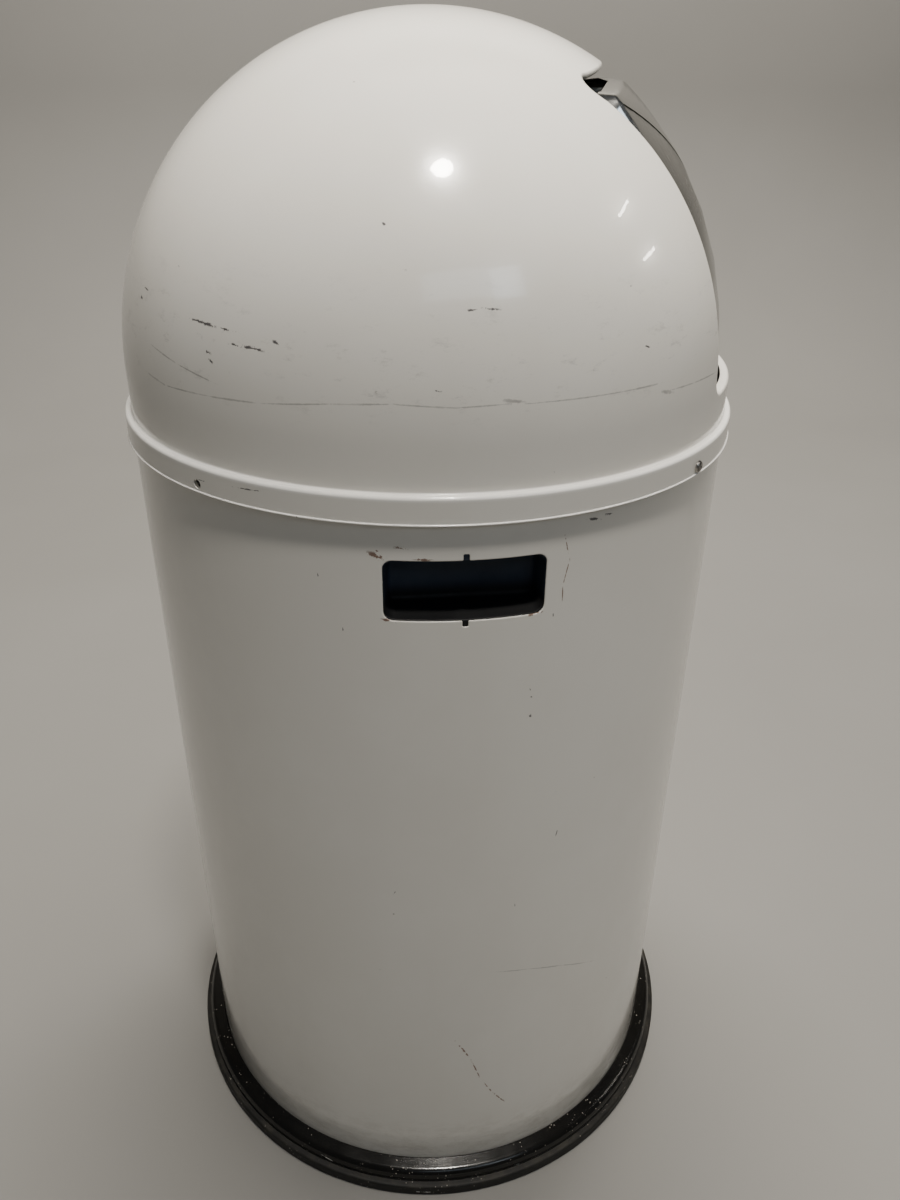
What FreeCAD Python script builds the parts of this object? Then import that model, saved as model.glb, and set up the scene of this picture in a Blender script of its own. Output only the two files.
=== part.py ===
"""Free-standing litter bin with a domed lid, a push flap and a loose inner bucket.

Millimetres, +Z up, origin on the floor under the middle of the bin.
The flap faces -Y.  The two hand holes are at -X and +X.
"""

import FreeCAD, Part
import math
import os
import re
import Sketcher

Vector = FreeCAD.Vector
Rotation = FreeCAD.Rotation
Placement = FreeCAD.Placement

# Driving dimensions: alias and value in millimetres.
SIZES = {
    # outer wall of the bin
    "body_radius": 184.0,
    "body_sheet": 0.7,
    "body_low": 5.8,
    "body_top": 547.9,
    # gaps: between welded pieces, pressed-together pieces and loose pieces, and round a pressed-in pin
    "weld_gap": 0.1,
    "press_gap": 0.15,
    "part_gap": 0.3,
    "snug_gap": 0.02,
    # how far a cutting tool runs past what it cuts
    "overrun": 40.0,
    # hand holes in the wall
    "hole_half": 41.4,
    "hole_low": 480.0,
    "hole_high": 514.0,
    "hole_corner": 5.0,
    "notch_half": 1.5,
    "notch_deep": 3.5,
    # grip cups behind the hand holes
    "cup_depth": 20.0,
    "cup_wall": 1.8,
    "cup_draft": 3.5,
    "cup_flange": 8.5,
    "cup_skin": 1.5,
    "cup_lip": 0.4,
    "cup_mouth": 4.0,
    "lug_gap": 0.2,
    # moulded ring round the foot
    "ring_radius": 200.0,
    "ring_inner": 178.0,
    "ring_top": 21.0,
    "ring_lip": 6.8,
    "ring_edge": 1.5,
    "ring_round": 2.0,
    "ring_ledge": 4.6,
    "ring_ledge_rise": 2.6,
    "ring_cove": 4.0,
    "ring_cove_rise": 5.2,
    "ring_belly": 6.5,
    "ring_shoulder": 9.8,
    "ring_shoulder_drop": 1.4,
    "ring_mouth": 0.75,
    "ring_wall": 3.15,
    "ring_floor": 3.0,
    # flat bottom of the bin and the rolled angle that holds it
    "plate_low": 19.3,
    "plate_sheet": 0.7,
    "angle_foot": 12.0,
    "angle_top": 32.0,
    "angle_bend": 2.0,
    # lid
    "skirt_radius": 187.0,
    "skirt_low": 534.0,
    "shelf_top": 549.0,
    "dome_radius": 183.0,
    "dome_centre": 572.0,
    "lid_sheet": 0.8,
    "shelf_round": 1.5,
    "shelf_fillet": 0.8,
    "lip_depth": 5.0,
    # opening in the dome, seen square from the front
    "sill_height": 570.0,
    "head_height": 727.4,
    "sill_half": 110.0,
    "head_half": 85.4,
    "jamb_bulge": 460.0,
    "sill_corner": 10.0,
    "head_corner": 11.0,
    "head_turn": 8.4,
    "head_arch": 7.4,
    "head_drop": 14.7,
    "head_bulge": 427.0,
    "flap_gap": 3.0,
    "flap_head_gap": 5.0,
    # push flap
    "flap_radius": 187.0,
    "flap_centre_y": 13.5,
    "flap_centre_z": 576.5,
    "flap_sheet": 0.7,
    "flap_return": 5.0,
    # flap hinge
    "hinge_y": -88.0,
    "hinge_z": 712.0,
    "rod_radius": 2.0,
    "rod_half": 48.0,
    "bush_radius": 3.5,
    "tab_x": 28.0,
    "bracket_x": 40.0,
    "strap": 1.5,
    "stop_near": 8.0,
    "stop_far": 16.0,
    "stop_width": 8.0,
    "stop_drop": 8.5,
    "lug_drop": 12.0,
    "clip_gap": 0.4,
    "clip_rim": 3.0,
    "clip_sheet": 1.0,
    "running_gap": 0.05,
    "spring_radius": 3.6,
    "spring_wire": 0.6,
    "flap_leg": 42.0,
    "dome_leg": 38.0,
    # rivets and glides of the lid
    "rivet_height": 538.6,
    "rivet_radius": 2.4,
    "rivet_head": 3.4,
    "rivet_rim": 0.9,
    "rivet_crown": 0.9,
    "rivet_taper": 1.3,
    "rivet_clear": 0.1,
    "tail_radius": 2.9,
    "tail_height": 0.45,
    "tail_set": 0.4,
    "glide_half": 8.0,
    "glide_drop": 3.0,
    "glide_height": 10.0,
    # inner bucket
    "bucket_low": 20.3,
    "bucket_high": 522.0,
    "bucket_foot_radius": 148.0,
    "bucket_mouth_radius": 156.0,
    "bucket_sheet": 0.5,
    "bead_radius": 2.0,
    "pan_height": 24.0,
    "pan_corner": 2.6,
    # bail of the bucket
    "bail_height": 531.0,
    "bail_radius": 157.0,
    "bail_wire": 2.5,
    "bail_bend": 4.5,
    "bail_pin_end": 147.0,
    "bail_clear": 0.1,
    "grip_radius": 6.0,
    "grip_angle": 34.0,
    "ear_face": 152.2,
    "ear_sheet": 2.0,
    "ear_joggle": 2.0,
    "ear_half": 12.0,
    "ear_drop": 9.0,
    "ear_step": 10.0,
    "ear_lap": 0.2,
    "ear_rivet_height": 505.0,
    "ear_rivet_x": 6.0,
    "ear_hole": 2.05,
    "ear_shank": 2.0,
    "ear_head": 3.8,
    "ear_head_height": 1.15,
    "ear_head_set": 1.2,
    "ear_shank_length": 6.0,
    "ear_tail": 3.4,
    "ear_tail_height": 1.1,
}

LID_RIVET_ANGLES = (-135.0, -45.0, 45.0)   # the fourth place, at 135 degrees, is an empty hole
SIDES = (("left", -1), ("right", 1))

doc = FreeCAD.newDocument("litter_bin")
sheet = doc.addObject("Spreadsheet::Sheet", "Sizes")
for row, (alias, value) in enumerate(SIZES.items(), start=1):
    sheet.set("A%d" % row, alias)
    sheet.set("B%d" % row, str(value))
    sheet.setAlias("B%d" % row, alias)
doc.recompute()

nodes = []


# ---------------------------------------------------------------- helpers

def bound(text):
    """Turn the sheet's words in an expression into references to the sheet."""
    return re.sub(r"[a-z][a-z_]+", lambda word: "Sizes." + word[0] if word[0] in SIZES else word[0], text)


def size(text):
    """The number that an expression in the sheet's words stands for."""
    return float(sheet.evalExpression(bound(text)))


def keep(node, label):
    """Name a finished sub-part and put it on the list to write."""
    node.Label = label
    nodes.append(node)
    return node


def new_body(name):
    return doc.addObject("PartDesign::Body", name)


def plane_sketch(body, name, role, offset=(0.0, 0.0, 0.0)):
    """A sketch on one of the body's own origin planes."""
    sketch = body.newObject("Sketcher::SketchObject", name)
    plane = [item for item in body.Origin.OriginFeatures if item.Role == role][0]
    sketch.AttachmentSupport = [(plane, "")]
    sketch.MapMode = "FlatFace"
    sketch.AttachmentOffset = Placement(Vector(*offset), Rotation())
    return sketch


def hold(sketch, kind, axis_line, edge, end, text):
    """Hold one coordinate of an edge's end at the distance that the sheet gives."""
    value = size(text)
    if abs(value) < 1e-9:
        sketch.addConstraint(Sketcher.Constraint("PointOnObject", edge, end, axis_line))
        return
    if value > 0:
        number = sketch.addConstraint(Sketcher.Constraint(kind, -1, 1, edge, end, value))
        sketch.setExpression("Constraints[%d]" % number, bound(text))
    else:
        number = sketch.addConstraint(Sketcher.Constraint(kind, edge, end, -1, 1, -value))
        sketch.setExpression("Constraints[%d]" % number, bound("-(%s)" % text))


def arc_between(start, finish, radius):
    """The short arc from start to finish; a positive radius turns left, a negative one right."""
    chord = finish - start
    height = math.sqrt(max(radius * radius - chord.Length ** 2 / 4, 0.0))
    left = Vector(-chord.y, chord.x, 0).normalize()
    centre = (start + finish) / 2 + left * math.copysign(height, radius)
    circle = Part.Circle(centre, Vector(0, 0, 1), abs(radius))
    first, last = (start, finish) if radius > 0 else (finish, start)
    angles = [math.atan2(point.y - centre.y, point.x - centre.x) for point in (first, last)]
    return Part.ArcOfCircle(circle, angles[0], angles[1])


def outline(sketch, path, closed=True):
    """Draw a line of straight and round edges.

    Each corner is (x, y) or (x, y, radius); a radius makes the edge to the next corner an arc.
    """
    corners = [Vector(size(corner[0]), size(corner[1]), 0) for corner in path]
    count = len(path) if closed else len(path) - 1
    ends = []
    for index in range(count):
        start = corners[index]
        finish = corners[(index + 1) % len(path)]
        radius = path[index][2] if len(path[index]) > 2 else None
        if radius is None:
            edge = sketch.addGeometry(Part.LineSegment(start, finish))
            ends.append((edge, 1, 2))
            continue
        edge = sketch.addGeometry(arc_between(start, finish, size(radius)))
        ends.append((edge, 1, 2) if size(radius) > 0 else (edge, 2, 1))
        number = sketch.addConstraint(Sketcher.Constraint("Radius", edge, abs(size(radius))))
        sketch.setExpression("Constraints[%d]" % number, bound("abs(%s)" % radius))
    for index, (edge, start_end, finish_end) in enumerate(ends):
        hold(sketch, "DistanceX", -2, edge, start_end, path[index][0])
        hold(sketch, "DistanceY", -1, edge, start_end, path[index][1])
        if index + 1 < count or closed:
            after = ends[(index + 1) % count]
            sketch.addConstraint(Sketcher.Constraint("Coincident", edge, finish_end, after[0], after[1]))
        else:
            hold(sketch, "DistanceX", -2, edge, finish_end, path[-1][0])
            hold(sketch, "DistanceY", -1, edge, finish_end, path[-1][1])
    return sketch


def circle(sketch, x, y, radius):
    """A round hole in a sketch, its place and size held by the sheet."""
    edge = sketch.addGeometry(Part.Circle(Vector(size(x), size(y), 0), Vector(0, 0, 1), size(radius)))
    hold(sketch, "DistanceX", -2, edge, 3, x)
    hold(sketch, "DistanceY", -1, edge, 3, y)
    number = sketch.addConstraint(Sketcher.Constraint("Radius", edge, size(radius)))
    sketch.setExpression("Constraints[%d]" % number, bound(radius))


def revolve(body, name, sketch, kind="Revolution", angle=360.0, backwards=False):
    """Turn a sketch about its own upright axis."""
    feature = body.newObject("PartDesign::" + kind, name)
    feature.Profile = sketch
    feature.ReferenceAxis = (sketch, ["V_Axis"])
    feature.Angle = angle
    feature.Reversed = backwards
    return feature


def pocket(body, name, sketch, both_ways=False, backwards=False):
    """Cut a sketch right through the body and make sure that it removed something."""
    doc.recompute()
    before = body.Shape.Volume
    feature = body.newObject("PartDesign::Pocket", name)
    feature.Profile = sketch
    feature.Type = "ThroughAll"
    if both_ways:
        feature.SideType = "Symmetric"
    feature.Reversed = backwards
    doc.recompute()
    if body.Shape.Volume > before - 1.0:
        raise RuntimeError("%s cuts nothing" % name)
    return feature


def solid(kind, name, place=("0", "0", "0"), turn=None, **lengths):
    """A Part primitive whose sizes and place follow the sheet."""
    made = doc.addObject("Part::" + kind, name)
    if turn:
        made.Placement = Placement(Vector(), turn)
    for key, text in lengths.items():
        made.setExpression(key, bound(text))
    for axis, text in zip("xyz", place):
        if text != "0":
            made.setExpression("Placement.Base." + axis, bound(text))
    return made


def box(name, low, high):
    """A box between two corners."""
    spans = ["(%s) - (%s)" % (top, bottom) for bottom, top in zip(low, high)]
    return solid("Box", name, low, Length=spans[0], Width=spans[1], Height=spans[2])


ALONG_X = Rotation(Vector(0, 1, 0), 90)
ALONG_Y = Rotation(Vector(1, 0, 0), -90)


def cylinder(name, place, radius, length, turn=None):
    return solid("Cylinder", name, place, turn, Radius=radius, Height=length)


def ball(name, radius, place=("0", "0", "0")):
    return solid("Sphere", name, place, Radius=radius)


def cut(name, base, tool):
    made = doc.addObject("Part::Cut", name)
    made.Base, made.Tool = base, tool
    return made


def common(name, *pieces):
    made = doc.addObject("Part::MultiCommon", name)
    made.Shapes = list(pieces)
    return made


def fuse(name, *pieces):
    made = doc.addObject("Part::MultiFuse", name)
    made.Shapes = list(pieces)
    return made


def group(name, pieces):
    """Several separate solids kept as one node."""
    made = doc.addObject("Part::Compound", name)
    made.Links = list(pieces)
    return made


def turned(node, degrees):
    """Turn a finished piece about the bin's upright axis."""
    node.Placement = Placement(Vector(), Rotation(Vector(0, 0, 1), degrees))
    return node


# ---------------------------------------------------------------- body of the bin

def body_shell():
    """Rolled sheet wall with a hand hole on each side."""
    body = new_body("BodyShell")
    wall = plane_sketch(body, "WallProfile", "XZ_Plane")
    outline(wall, [
        ("body_radius - body_sheet", "body_low"),
        ("body_radius", "body_low"),
        ("body_radius", "body_top"),
        ("body_radius - body_sheet", "body_top"),
    ])
    revolve(body, "Wall", wall)
    # Rounded rectangle with a small square notch in the middle of its top and bottom edges.
    hole = plane_sketch(body, "HandHole", "YZ_Plane")
    outline(hole, [
        ("-hole_half + hole_corner", "hole_low"),
        ("-notch_half", "hole_low"),
        ("-notch_half", "hole_low - notch_deep"),
        ("notch_half", "hole_low - notch_deep"),
        ("notch_half", "hole_low"),
        ("hole_half - hole_corner", "hole_low", "hole_corner"),
        ("hole_half", "hole_low + hole_corner"),
        ("hole_half", "hole_high - hole_corner", "hole_corner"),
        ("hole_half - hole_corner", "hole_high"),
        ("notch_half", "hole_high"),
        ("notch_half", "hole_high + notch_deep"),
        ("-notch_half", "hole_high + notch_deep"),
        ("-notch_half", "hole_high"),
        ("-hole_half + hole_corner", "hole_high", "hole_corner"),
        ("-hole_half", "hole_high - hole_corner"),
        ("-hole_half", "hole_low + hole_corner", "hole_corner"),
    ])
    pocket(body, "HandHoles", hole, both_ways=True)
    keep(body, "body_shell")


def bottom_plate():
    """Flat disc that closes the foot of the wall, just above the ledge of the base ring."""
    radius = "body_radius - body_sheet - weld_gap"
    keep(cylinder("BottomDisc", ("0", "0", "plate_low"), radius, "plate_sheet"), "bottom_plate")


def bottom_angle():
    """Rolled angle, welded to the wall and to the disc, that holds the bottom in."""
    body = new_body("BottomAngle")
    profile = plane_sketch(body, "AngleProfile", "XZ_Plane")
    outer = "body_radius - body_sheet - weld_gap"
    foot = "plate_low + plate_sheet + weld_gap"
    outline(profile, [
        (outer + " - angle_foot", foot),
        (outer + " - angle_bend", foot, "angle_bend"),
        (outer, foot + " + angle_bend"),
        (outer, "angle_top"),
        (outer + " - plate_sheet", "angle_top"),
        (outer + " - plate_sheet", foot + " + angle_bend", "-(angle_bend - plate_sheet)"),
        (outer + " - angle_bend", foot + " + plate_sheet"),
        (outer + " - angle_foot", foot + " + plate_sheet"),
    ])
    revolve(body, "Angle", profile)
    keep(body, "bottom_angle")


def base_ring():
    """Moulded ring pushed onto the lower edge of the wall, with a flange that meets the floor."""
    body = new_body("BaseRing")
    profile = plane_sketch(body, "RingProfile", "XZ_Plane")
    inner = "body_radius - body_sheet - press_gap"
    outline(profile, [
        ("ring_inner", "0"),
        ("ring_radius - ring_edge", "0", "ring_edge"),
        ("ring_radius", "ring_edge"),
        ("ring_radius", "ring_lip", "ring_round"),
        ("ring_radius - ring_round", "ring_lip + ring_round"),
        ("ring_radius - ring_ledge", "ring_lip + ring_ledge_rise"),
        ("ring_radius - ring_cove", "ring_lip + ring_cove_rise", "ring_belly"),
        ("ring_radius - ring_shoulder", "ring_top - ring_shoulder_drop"),
        ("body_radius + press_gap + ring_mouth", "ring_top"),
        ("body_radius + press_gap", "ring_top - ring_mouth"),
        ("body_radius + press_gap", "body_low - press_gap"),
        (inner, "body_low - press_gap"),
        (inner, "plate_low - part_gap"),
        (inner + " - ring_wall", "plate_low - part_gap"),
        (inner + " - ring_wall", "ring_floor"),
        ("ring_inner", "ring_floor"),
    ])
    revolve(body, "Ring", profile)
    keep(body, "base_ring")


def grip_cup(side, sign):
    """Recessed cup for the fingers, held behind the hand hole with a lug in each notch."""
    tag = side.capitalize()
    inner_face = "body_radius - body_sheet - weld_gap"
    mouth_half = "hole_half + cup_wall - cup_lip"
    middle = "(hole_low + hole_high) / 2"
    mouth_rise = "(hole_high - hole_low) / 2 + cup_wall - cup_lip"
    floor_face = "body_radius - body_sheet - cup_depth - cup_wall"

    def wedge(name, start, finish, inset):
        """Drafted block from the cup's floor out to its mouth."""
        half = "%s - %s" % (mouth_half, inset)
        rise = "%s - %s" % (mouth_rise, inset)
        return solid(
            "Wedge", name, ("0", "0", middle),
            Ymin=start, Ymax=finish,
            Xmin="-(%s) + cup_draft" % half, Xmax="%s - cup_draft" % half,
            Zmin="-(%s) + cup_draft" % rise, Zmax="%s - cup_draft" % rise,
            X2min="-(%s)" % half, X2max=half,
            Z2min="-(%s)" % rise, Z2max=rise,
        )

    bottom = ("0", "0", "hole_low - overrun")
    height = "hole_high - hole_low + 2 * overrun"
    high = "%s + %s + cup_flange" % (middle, mouth_rise)
    low = "%s - (%s) - cup_flange" % (middle, mouth_rise)
    sleeve = cut(
        tag + "Sleeve",
        cylinder(tag + "SleeveOut", bottom, inner_face, height),
        cylinder(tag + "SleeveIn", bottom, inner_face + " - cup_skin", height),
    )
    flange = common(
        tag + "Flange", sleeve,
        box(tag + "FlangeBox", ("-(hole_half + cup_flange)", "body_radius - overrun", low),
            ("hole_half + cup_flange", "body_radius + overrun", high)),
    )
    block = common(
        tag + "Block",
        wedge(tag + "Outer", floor_face, "body_radius + cup_mouth", "0"),
        cylinder(tag + "BlockLimit", bottom, inner_face, height),
    )
    lugs = [
        box(tag + "Lug%d" % index, ("-(notch_half - lug_gap)", inner_face + " - cup_skin", foot),
            ("notch_half - lug_gap", "body_radius - lug_gap", top))
        for index, (foot, top) in enumerate((
            ("hole_low - notch_deep + lug_gap", "hole_low + lug_gap"),
            ("hole_high - lug_gap", "hole_high + notch_deep - lug_gap"),
        ))
    ]
    hollow = wedge(tag + "Hollow", floor_face + " + cup_wall", "body_radius + 1.5 * cup_mouth", "cup_wall")
    cup = cut("GripCup" + tag, fuse(tag + "Cup", flange, block, *lugs), hollow)
    keep(turned(cup, -90.0 * sign), "grip_cup_" + side)


# ---------------------------------------------------------------- lid

def opening_prism(name, margin, lowering="0"):
    """A bar with the outline of the flap's opening, larger all round by the margin.

    The lowering brings its upper edge and upper corners down.
    """
    body = new_body(name)
    sketch = plane_sketch(body, name + "Outline", "XZ_Plane")
    sill = "sill_height - (%s)" % margin
    head = "head_height - head_arch + %s - (%s)" % (margin, lowering)
    head_end = "head_half - head_turn"
    foot = "sill_half + %s" % margin
    shoulder = "head_half + %s" % margin
    low_corner = "sill_corner + %s" % margin
    high_corner = "head_corner + %s" % margin
    drop = "head_height - head_drop - (%s)" % lowering
    outline(sketch, [
        ("-(sill_half - sill_corner)", sill),
        ("sill_half - sill_corner", sill, low_corner),
        (foot, "sill_height + sill_corner", "jamb_bulge + %s" % margin),
        (shoulder, drop, high_corner),
        (head_end, head, "head_bulge + %s" % margin),
        ("-(%s)" % head_end, head, high_corner),
        ("-(%s)" % shoulder, drop, "jamb_bulge + %s" % margin),
        ("-(%s)" % foot, "sill_height + sill_corner", low_corner),
    ])
    pad = body.newObject("PartDesign::Pad", name + "Pad")
    pad.Profile = sketch
    pad.setExpression("Length", bound("skirt_radius + overrun"))
    return body


def lid_dome():
    """Spun dome and skirt in one sheet, with a drawn-in lip round the opening."""
    shell = new_body("DomeSheet")
    profile = plane_sketch(shell, "DomeProfile", "XZ_Plane")
    outer_top = "dome_centre + dome_radius"
    inner = "dome_radius - lid_sheet"
    outline(profile, [
        ("skirt_radius - lid_sheet", "skirt_low"),
        ("skirt_radius", "skirt_low"),
        ("skirt_radius", "shelf_top - shelf_round", "shelf_round"),
        ("skirt_radius - shelf_round", "shelf_top"),
        ("dome_radius + shelf_fillet", "shelf_top", "-shelf_fillet"),
        ("dome_radius", "shelf_top + shelf_fillet"),
        ("dome_radius", "dome_centre", "dome_radius"),
        ("0", outer_top),
        ("0", outer_top + " - lid_sheet", "-(%s)" % inner),
        (inner, "dome_centre"),
        (inner, "shelf_top + shelf_fillet", "shelf_fillet + lid_sheet"),
        (inner + " + shelf_fillet + lid_sheet", "shelf_top - lid_sheet"),
        ("skirt_radius - shelf_round", "shelf_top - lid_sheet", "-(shelf_round - lid_sheet)"),
        ("skirt_radius - lid_sheet", "shelf_top - shelf_round"),
    ])
    revolve(shell, "DomeTurned", profile)
    # One straight cut makes two opposite rivet holes.
    for index, angle in enumerate((45, -45)):
        sketch = plane_sketch(shell, "RivetHole%d" % index, "XZ_Plane")
        sketch.AttachmentOffset = Placement(Vector(), Rotation(Vector(0, 1, 0), angle))
        circle(sketch, "0", "rivet_height", "rivet_radius + rivet_clear")
        pocket(shell, "RivetHoles%d" % index, sketch, both_ways=True)
    centre = ("0", "0", "dome_centre")
    lip = common(
        "Lip",
        opening_prism("LipPrism", "lid_sheet"),
        cut("LipShell", ball("LipOuter", "dome_radius - lid_sheet / 2", centre),
            ball("LipInner", "dome_radius - lip_depth", centre)),
    )
    keep(cut("LidDome", fuse("DomeAndLip", shell, lip), opening_prism("Opening", "0")), "lid_dome")


def lid_glides():
    """Thin pads riveted inside the skirt that centre the lid on the wall."""
    pads = []
    low = "rivet_height - glide_drop"
    seat_start = ("body_radius - part_gap", "0", "rivet_height")
    for index, angle in enumerate(LID_RIVET_ANGLES):
        name = "Glide%d" % index
        band = cut(
            name + "Band",
            cylinder(name + "Out", ("0", "0", low), "skirt_radius - lid_sheet - weld_gap", "glide_height"),
            cylinder(name + "In", ("0", "0", low), "body_radius + part_gap", "glide_height"),
        )
        piece = box(name + "Box", ("body_radius - overrun", "-glide_half", low),
                    ("body_radius + overrun", "glide_half", low + " + glide_height"))
        pad = common(name + "Pad", band, piece)
        seat = cylinder(name + "Seat", seat_start, "tail_radius + rivet_clear * 2",
                        "part_gap + tail_set + tail_height + rivet_clear / 2", ALONG_X)
        bore = cylinder(name + "Bore", seat_start, "rivet_radius + rivet_clear", "overrun", ALONG_X)
        pads.append(turned(cut(name, pad, fuse(name + "Hole", seat, bore)), angle))
    keep(group("LidGlides", pads), "lid_glides")


def lid_rivets():
    """Pan-headed rivets through the skirt and the glides."""
    rivets = []
    tail_start = ("body_radius + tail_set", "0", "rivet_height")
    head_start = ("skirt_radius + rivet_clear / 2", "0", "rivet_height")
    crown_start = ("skirt_radius + rivet_clear / 2 + rivet_rim", "0", "rivet_height")
    for index, angle in enumerate(LID_RIVET_ANGLES):
        name = "Rivet%d" % index
        rivets.append(turned(fuse(
            name,
            cylinder(name + "Tail", tail_start, "tail_radius", "tail_height", ALONG_X),
            cylinder(name + "Shank", tail_start, "rivet_radius", "skirt_radius - body_radius", ALONG_X),
            cylinder(name + "Rim", head_start, "rivet_head", "rivet_rim", ALONG_X),
            solid("Cone", name + "Crown", crown_start, ALONG_X,
                  Radius1="rivet_head", Radius2="rivet_head - rivet_taper", Height="rivet_crown"),
        ), angle))
    keep(group("LidRivets", rivets), "lid_rivets")


# ---------------------------------------------------------------- flap and its hinge

HINGE = ("hinge_y", "hinge_z")
FLAP_CENTRE = ("0", "flap_centre_y", "flap_centre_z")


def side_plate(name, x, thickness, corners):
    """A flat plate square to the hinge, its corners given from the hinge line."""
    body = new_body(name)
    sketch = plane_sketch(body, name + "Outline", "YZ_Plane")
    sketch.setExpression("AttachmentOffset.Base.z", bound(x))
    outline(sketch, [("hinge_y + (%s)" % corner[0], "hinge_z + (%s)" % corner[1]) + tuple(corner[2:])
                     for corner in corners])
    pad = body.newObject("PartDesign::Pad", name + "Pad")
    pad.Profile = sketch
    pad.setExpression("Length", bound(thickness))
    return body


def pair(piece, name):
    """The same piece on the other side of the bin."""
    twin = doc.addObject("Part::Mirroring", name)
    twin.Source = piece
    twin.Normal = Vector(1, 0, 0)
    twin.Base = Vector(0, 0, 0)
    return twin


def along_hinge(name, x, radius, length):
    return cylinder(name, (x,) + HINGE, radius, length, ALONG_X)


def flap_panel():
    """Domed sheet panel with its edges returned inward."""
    blank = common(
        "FlapBlank",
        opening_prism("FlapPrism", "-flap_gap", "flap_head_gap - flap_gap"),
        cut("FlapShell", ball("FlapOuter", "flap_radius", FLAP_CENTRE),
            ball("FlapInner", "flap_radius - flap_return", FLAP_CENTRE)),
    )
    hollow = common(
        "FlapHollow",
        opening_prism("FlapHollowPrism", "-flap_gap - flap_sheet", "flap_head_gap - flap_gap"),
        ball("FlapHollowBall", "flap_radius - flap_sheet", FLAP_CENTRE),
    )
    keep(cut("FlapPanel", blank, hollow), "flap_panel")


def flap_tabs():
    """Hinge tabs welded inside the flap, each with a tail that lands on a stop pad."""
    inside = "flap_radius - flap_sheet - weld_gap"
    ear = side_plate("TabEar", "tab_x", "strap", [
        ("0", "5", "5"),
        ("-5", "0"),
        ("-40", "-10"),
        ("-40", "-22"),
        ("0", "-7"),
        ("5", "-8.5"),
        ("16", "-8.5"),
        ("16", "-6"),
        ("5", "3"),
    ])
    foot = common(
        "TabFoot",
        cut("TabFootShell", ball("TabFootOuter", inside, FLAP_CENTRE),
            ball("TabFootInner", inside + " - 1.2", FLAP_CENTRE)),
        box("TabFootBox", ("tab_x - 12", "hinge_y - 60", "hinge_z - 21"),
            ("tab_x + strap", "hinge_y - 15", "hinge_z - 3")),
    )
    arm = common("TabArm", ear, ball("TabLimit", inside, FLAP_CENTRE))
    tail = box("TabTail", ("tab_x", "hinge_y + stop_near", "hinge_z - stop_drop"),
               ("tab_x + stop_width", "hinge_y + stop_far", "hinge_z - stop_drop + strap"))
    bore = along_hinge("TabBore", "tab_x - 1", "bush_radius + snug_gap", "strap + 2")
    right = cut("TabRight", fuse("TabWhole", arm, foot, tail), bore)
    keep(right, "flap_tab_right")
    keep(pair(right, "TabLeft"), "flap_tab_left")


def hinge_brackets():
    """Brackets welded under the dome that carry the rod, each with a lug under its stop pad."""
    inside = "dome_radius - lid_sheet - weld_gap"
    centre = ("0", "0", "dome_centre")
    ear = side_plate("BracketEar", "bracket_x", "strap", [
        ("0", "5", "5"),
        ("-5", "0", "5"),
        ("0", "-5"),
        ("8", "-13.5"),
        ("18", "-13.5"),
        ("30", "4"),
        ("34", "40"),
        ("13", "40"),
        ("13", "5"),
    ])
    foot = common(
        "BracketFoot",
        cut("BracketFootShell", ball("BracketFootOuter", inside, centre),
            ball("BracketFootInner", inside + " - strap", centre)),
        box("BracketFootBox", ("bracket_x", "hinge_y + 18", "hinge_z"),
            ("bracket_x + 16", "hinge_y + 34", "hinge_z + 40")),
    )
    arm = common("BracketArm", ear, ball("BracketLimit", inside, centre))
    lug = box("BracketLug", ("tab_x + strap", "hinge_y + stop_near", "hinge_z - lug_drop - strap"),
              ("bracket_x + strap", "hinge_y + stop_far + 1", "hinge_z - lug_drop"))
    bore = along_hinge("BracketBore", "bracket_x - 1", "rod_radius + snug_gap", "strap + 2")
    right = cut("BracketRight", fuse("BracketWhole", arm, foot, lug), bore)
    keep(right, "hinge_bracket_right")
    keep(pair(right, "BracketLeft"), "hinge_bracket_left")


def hinge_rod():
    keep(along_hinge("HingeRod", "-rod_half", "rod_radius", "2 * rod_half"), "hinge_rod")


def rod_clips():
    """Push-on washers that keep the rod in its brackets."""
    clip = cut(
        "ClipRight",
        along_hinge("ClipDisc", "bracket_x + strap + clip_gap", "rod_radius + clip_rim", "clip_sheet"),
        along_hinge("ClipBore", "bracket_x", "rod_radius + snug_gap", "overrun"),
    )
    keep(group("RodClips", [clip, pair(clip, "ClipLeft")]), "rod_clips")


def hinge_bushes():
    """Plain bushes between the flap's tabs and the rod."""
    bush = cut(
        "BushRight",
        along_hinge("BushTube", "tab_x - 2", "bush_radius", "strap + 3"),
        along_hinge("BushBore", "tab_x - 5", "rod_radius + running_gap", "strap + 10"),
    )
    keep(group("HingeBushes", [bush, pair(bush, "BushLeft")]), "hinge_bushes")


def stop_pads():
    """Rubber pads on the bracket lugs that stop the flap when it is shut."""
    pad = box("PadRight", ("tab_x + 2", "hinge_y + stop_near + 0.5", "hinge_z - lug_drop"),
              ("tab_x + stop_width", "hinge_y + stop_far + 0.5", "hinge_z - stop_drop - part_gap"))
    keep(group("StopPads", [pad, pair(pad, "PadLeft")]), "stop_pads")


def hinge_frame():
    """The turn that lays +Z along the hinge (+X) and +X along +Y."""
    return Rotation(Vector(1, 1, 1), 120)


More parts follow.
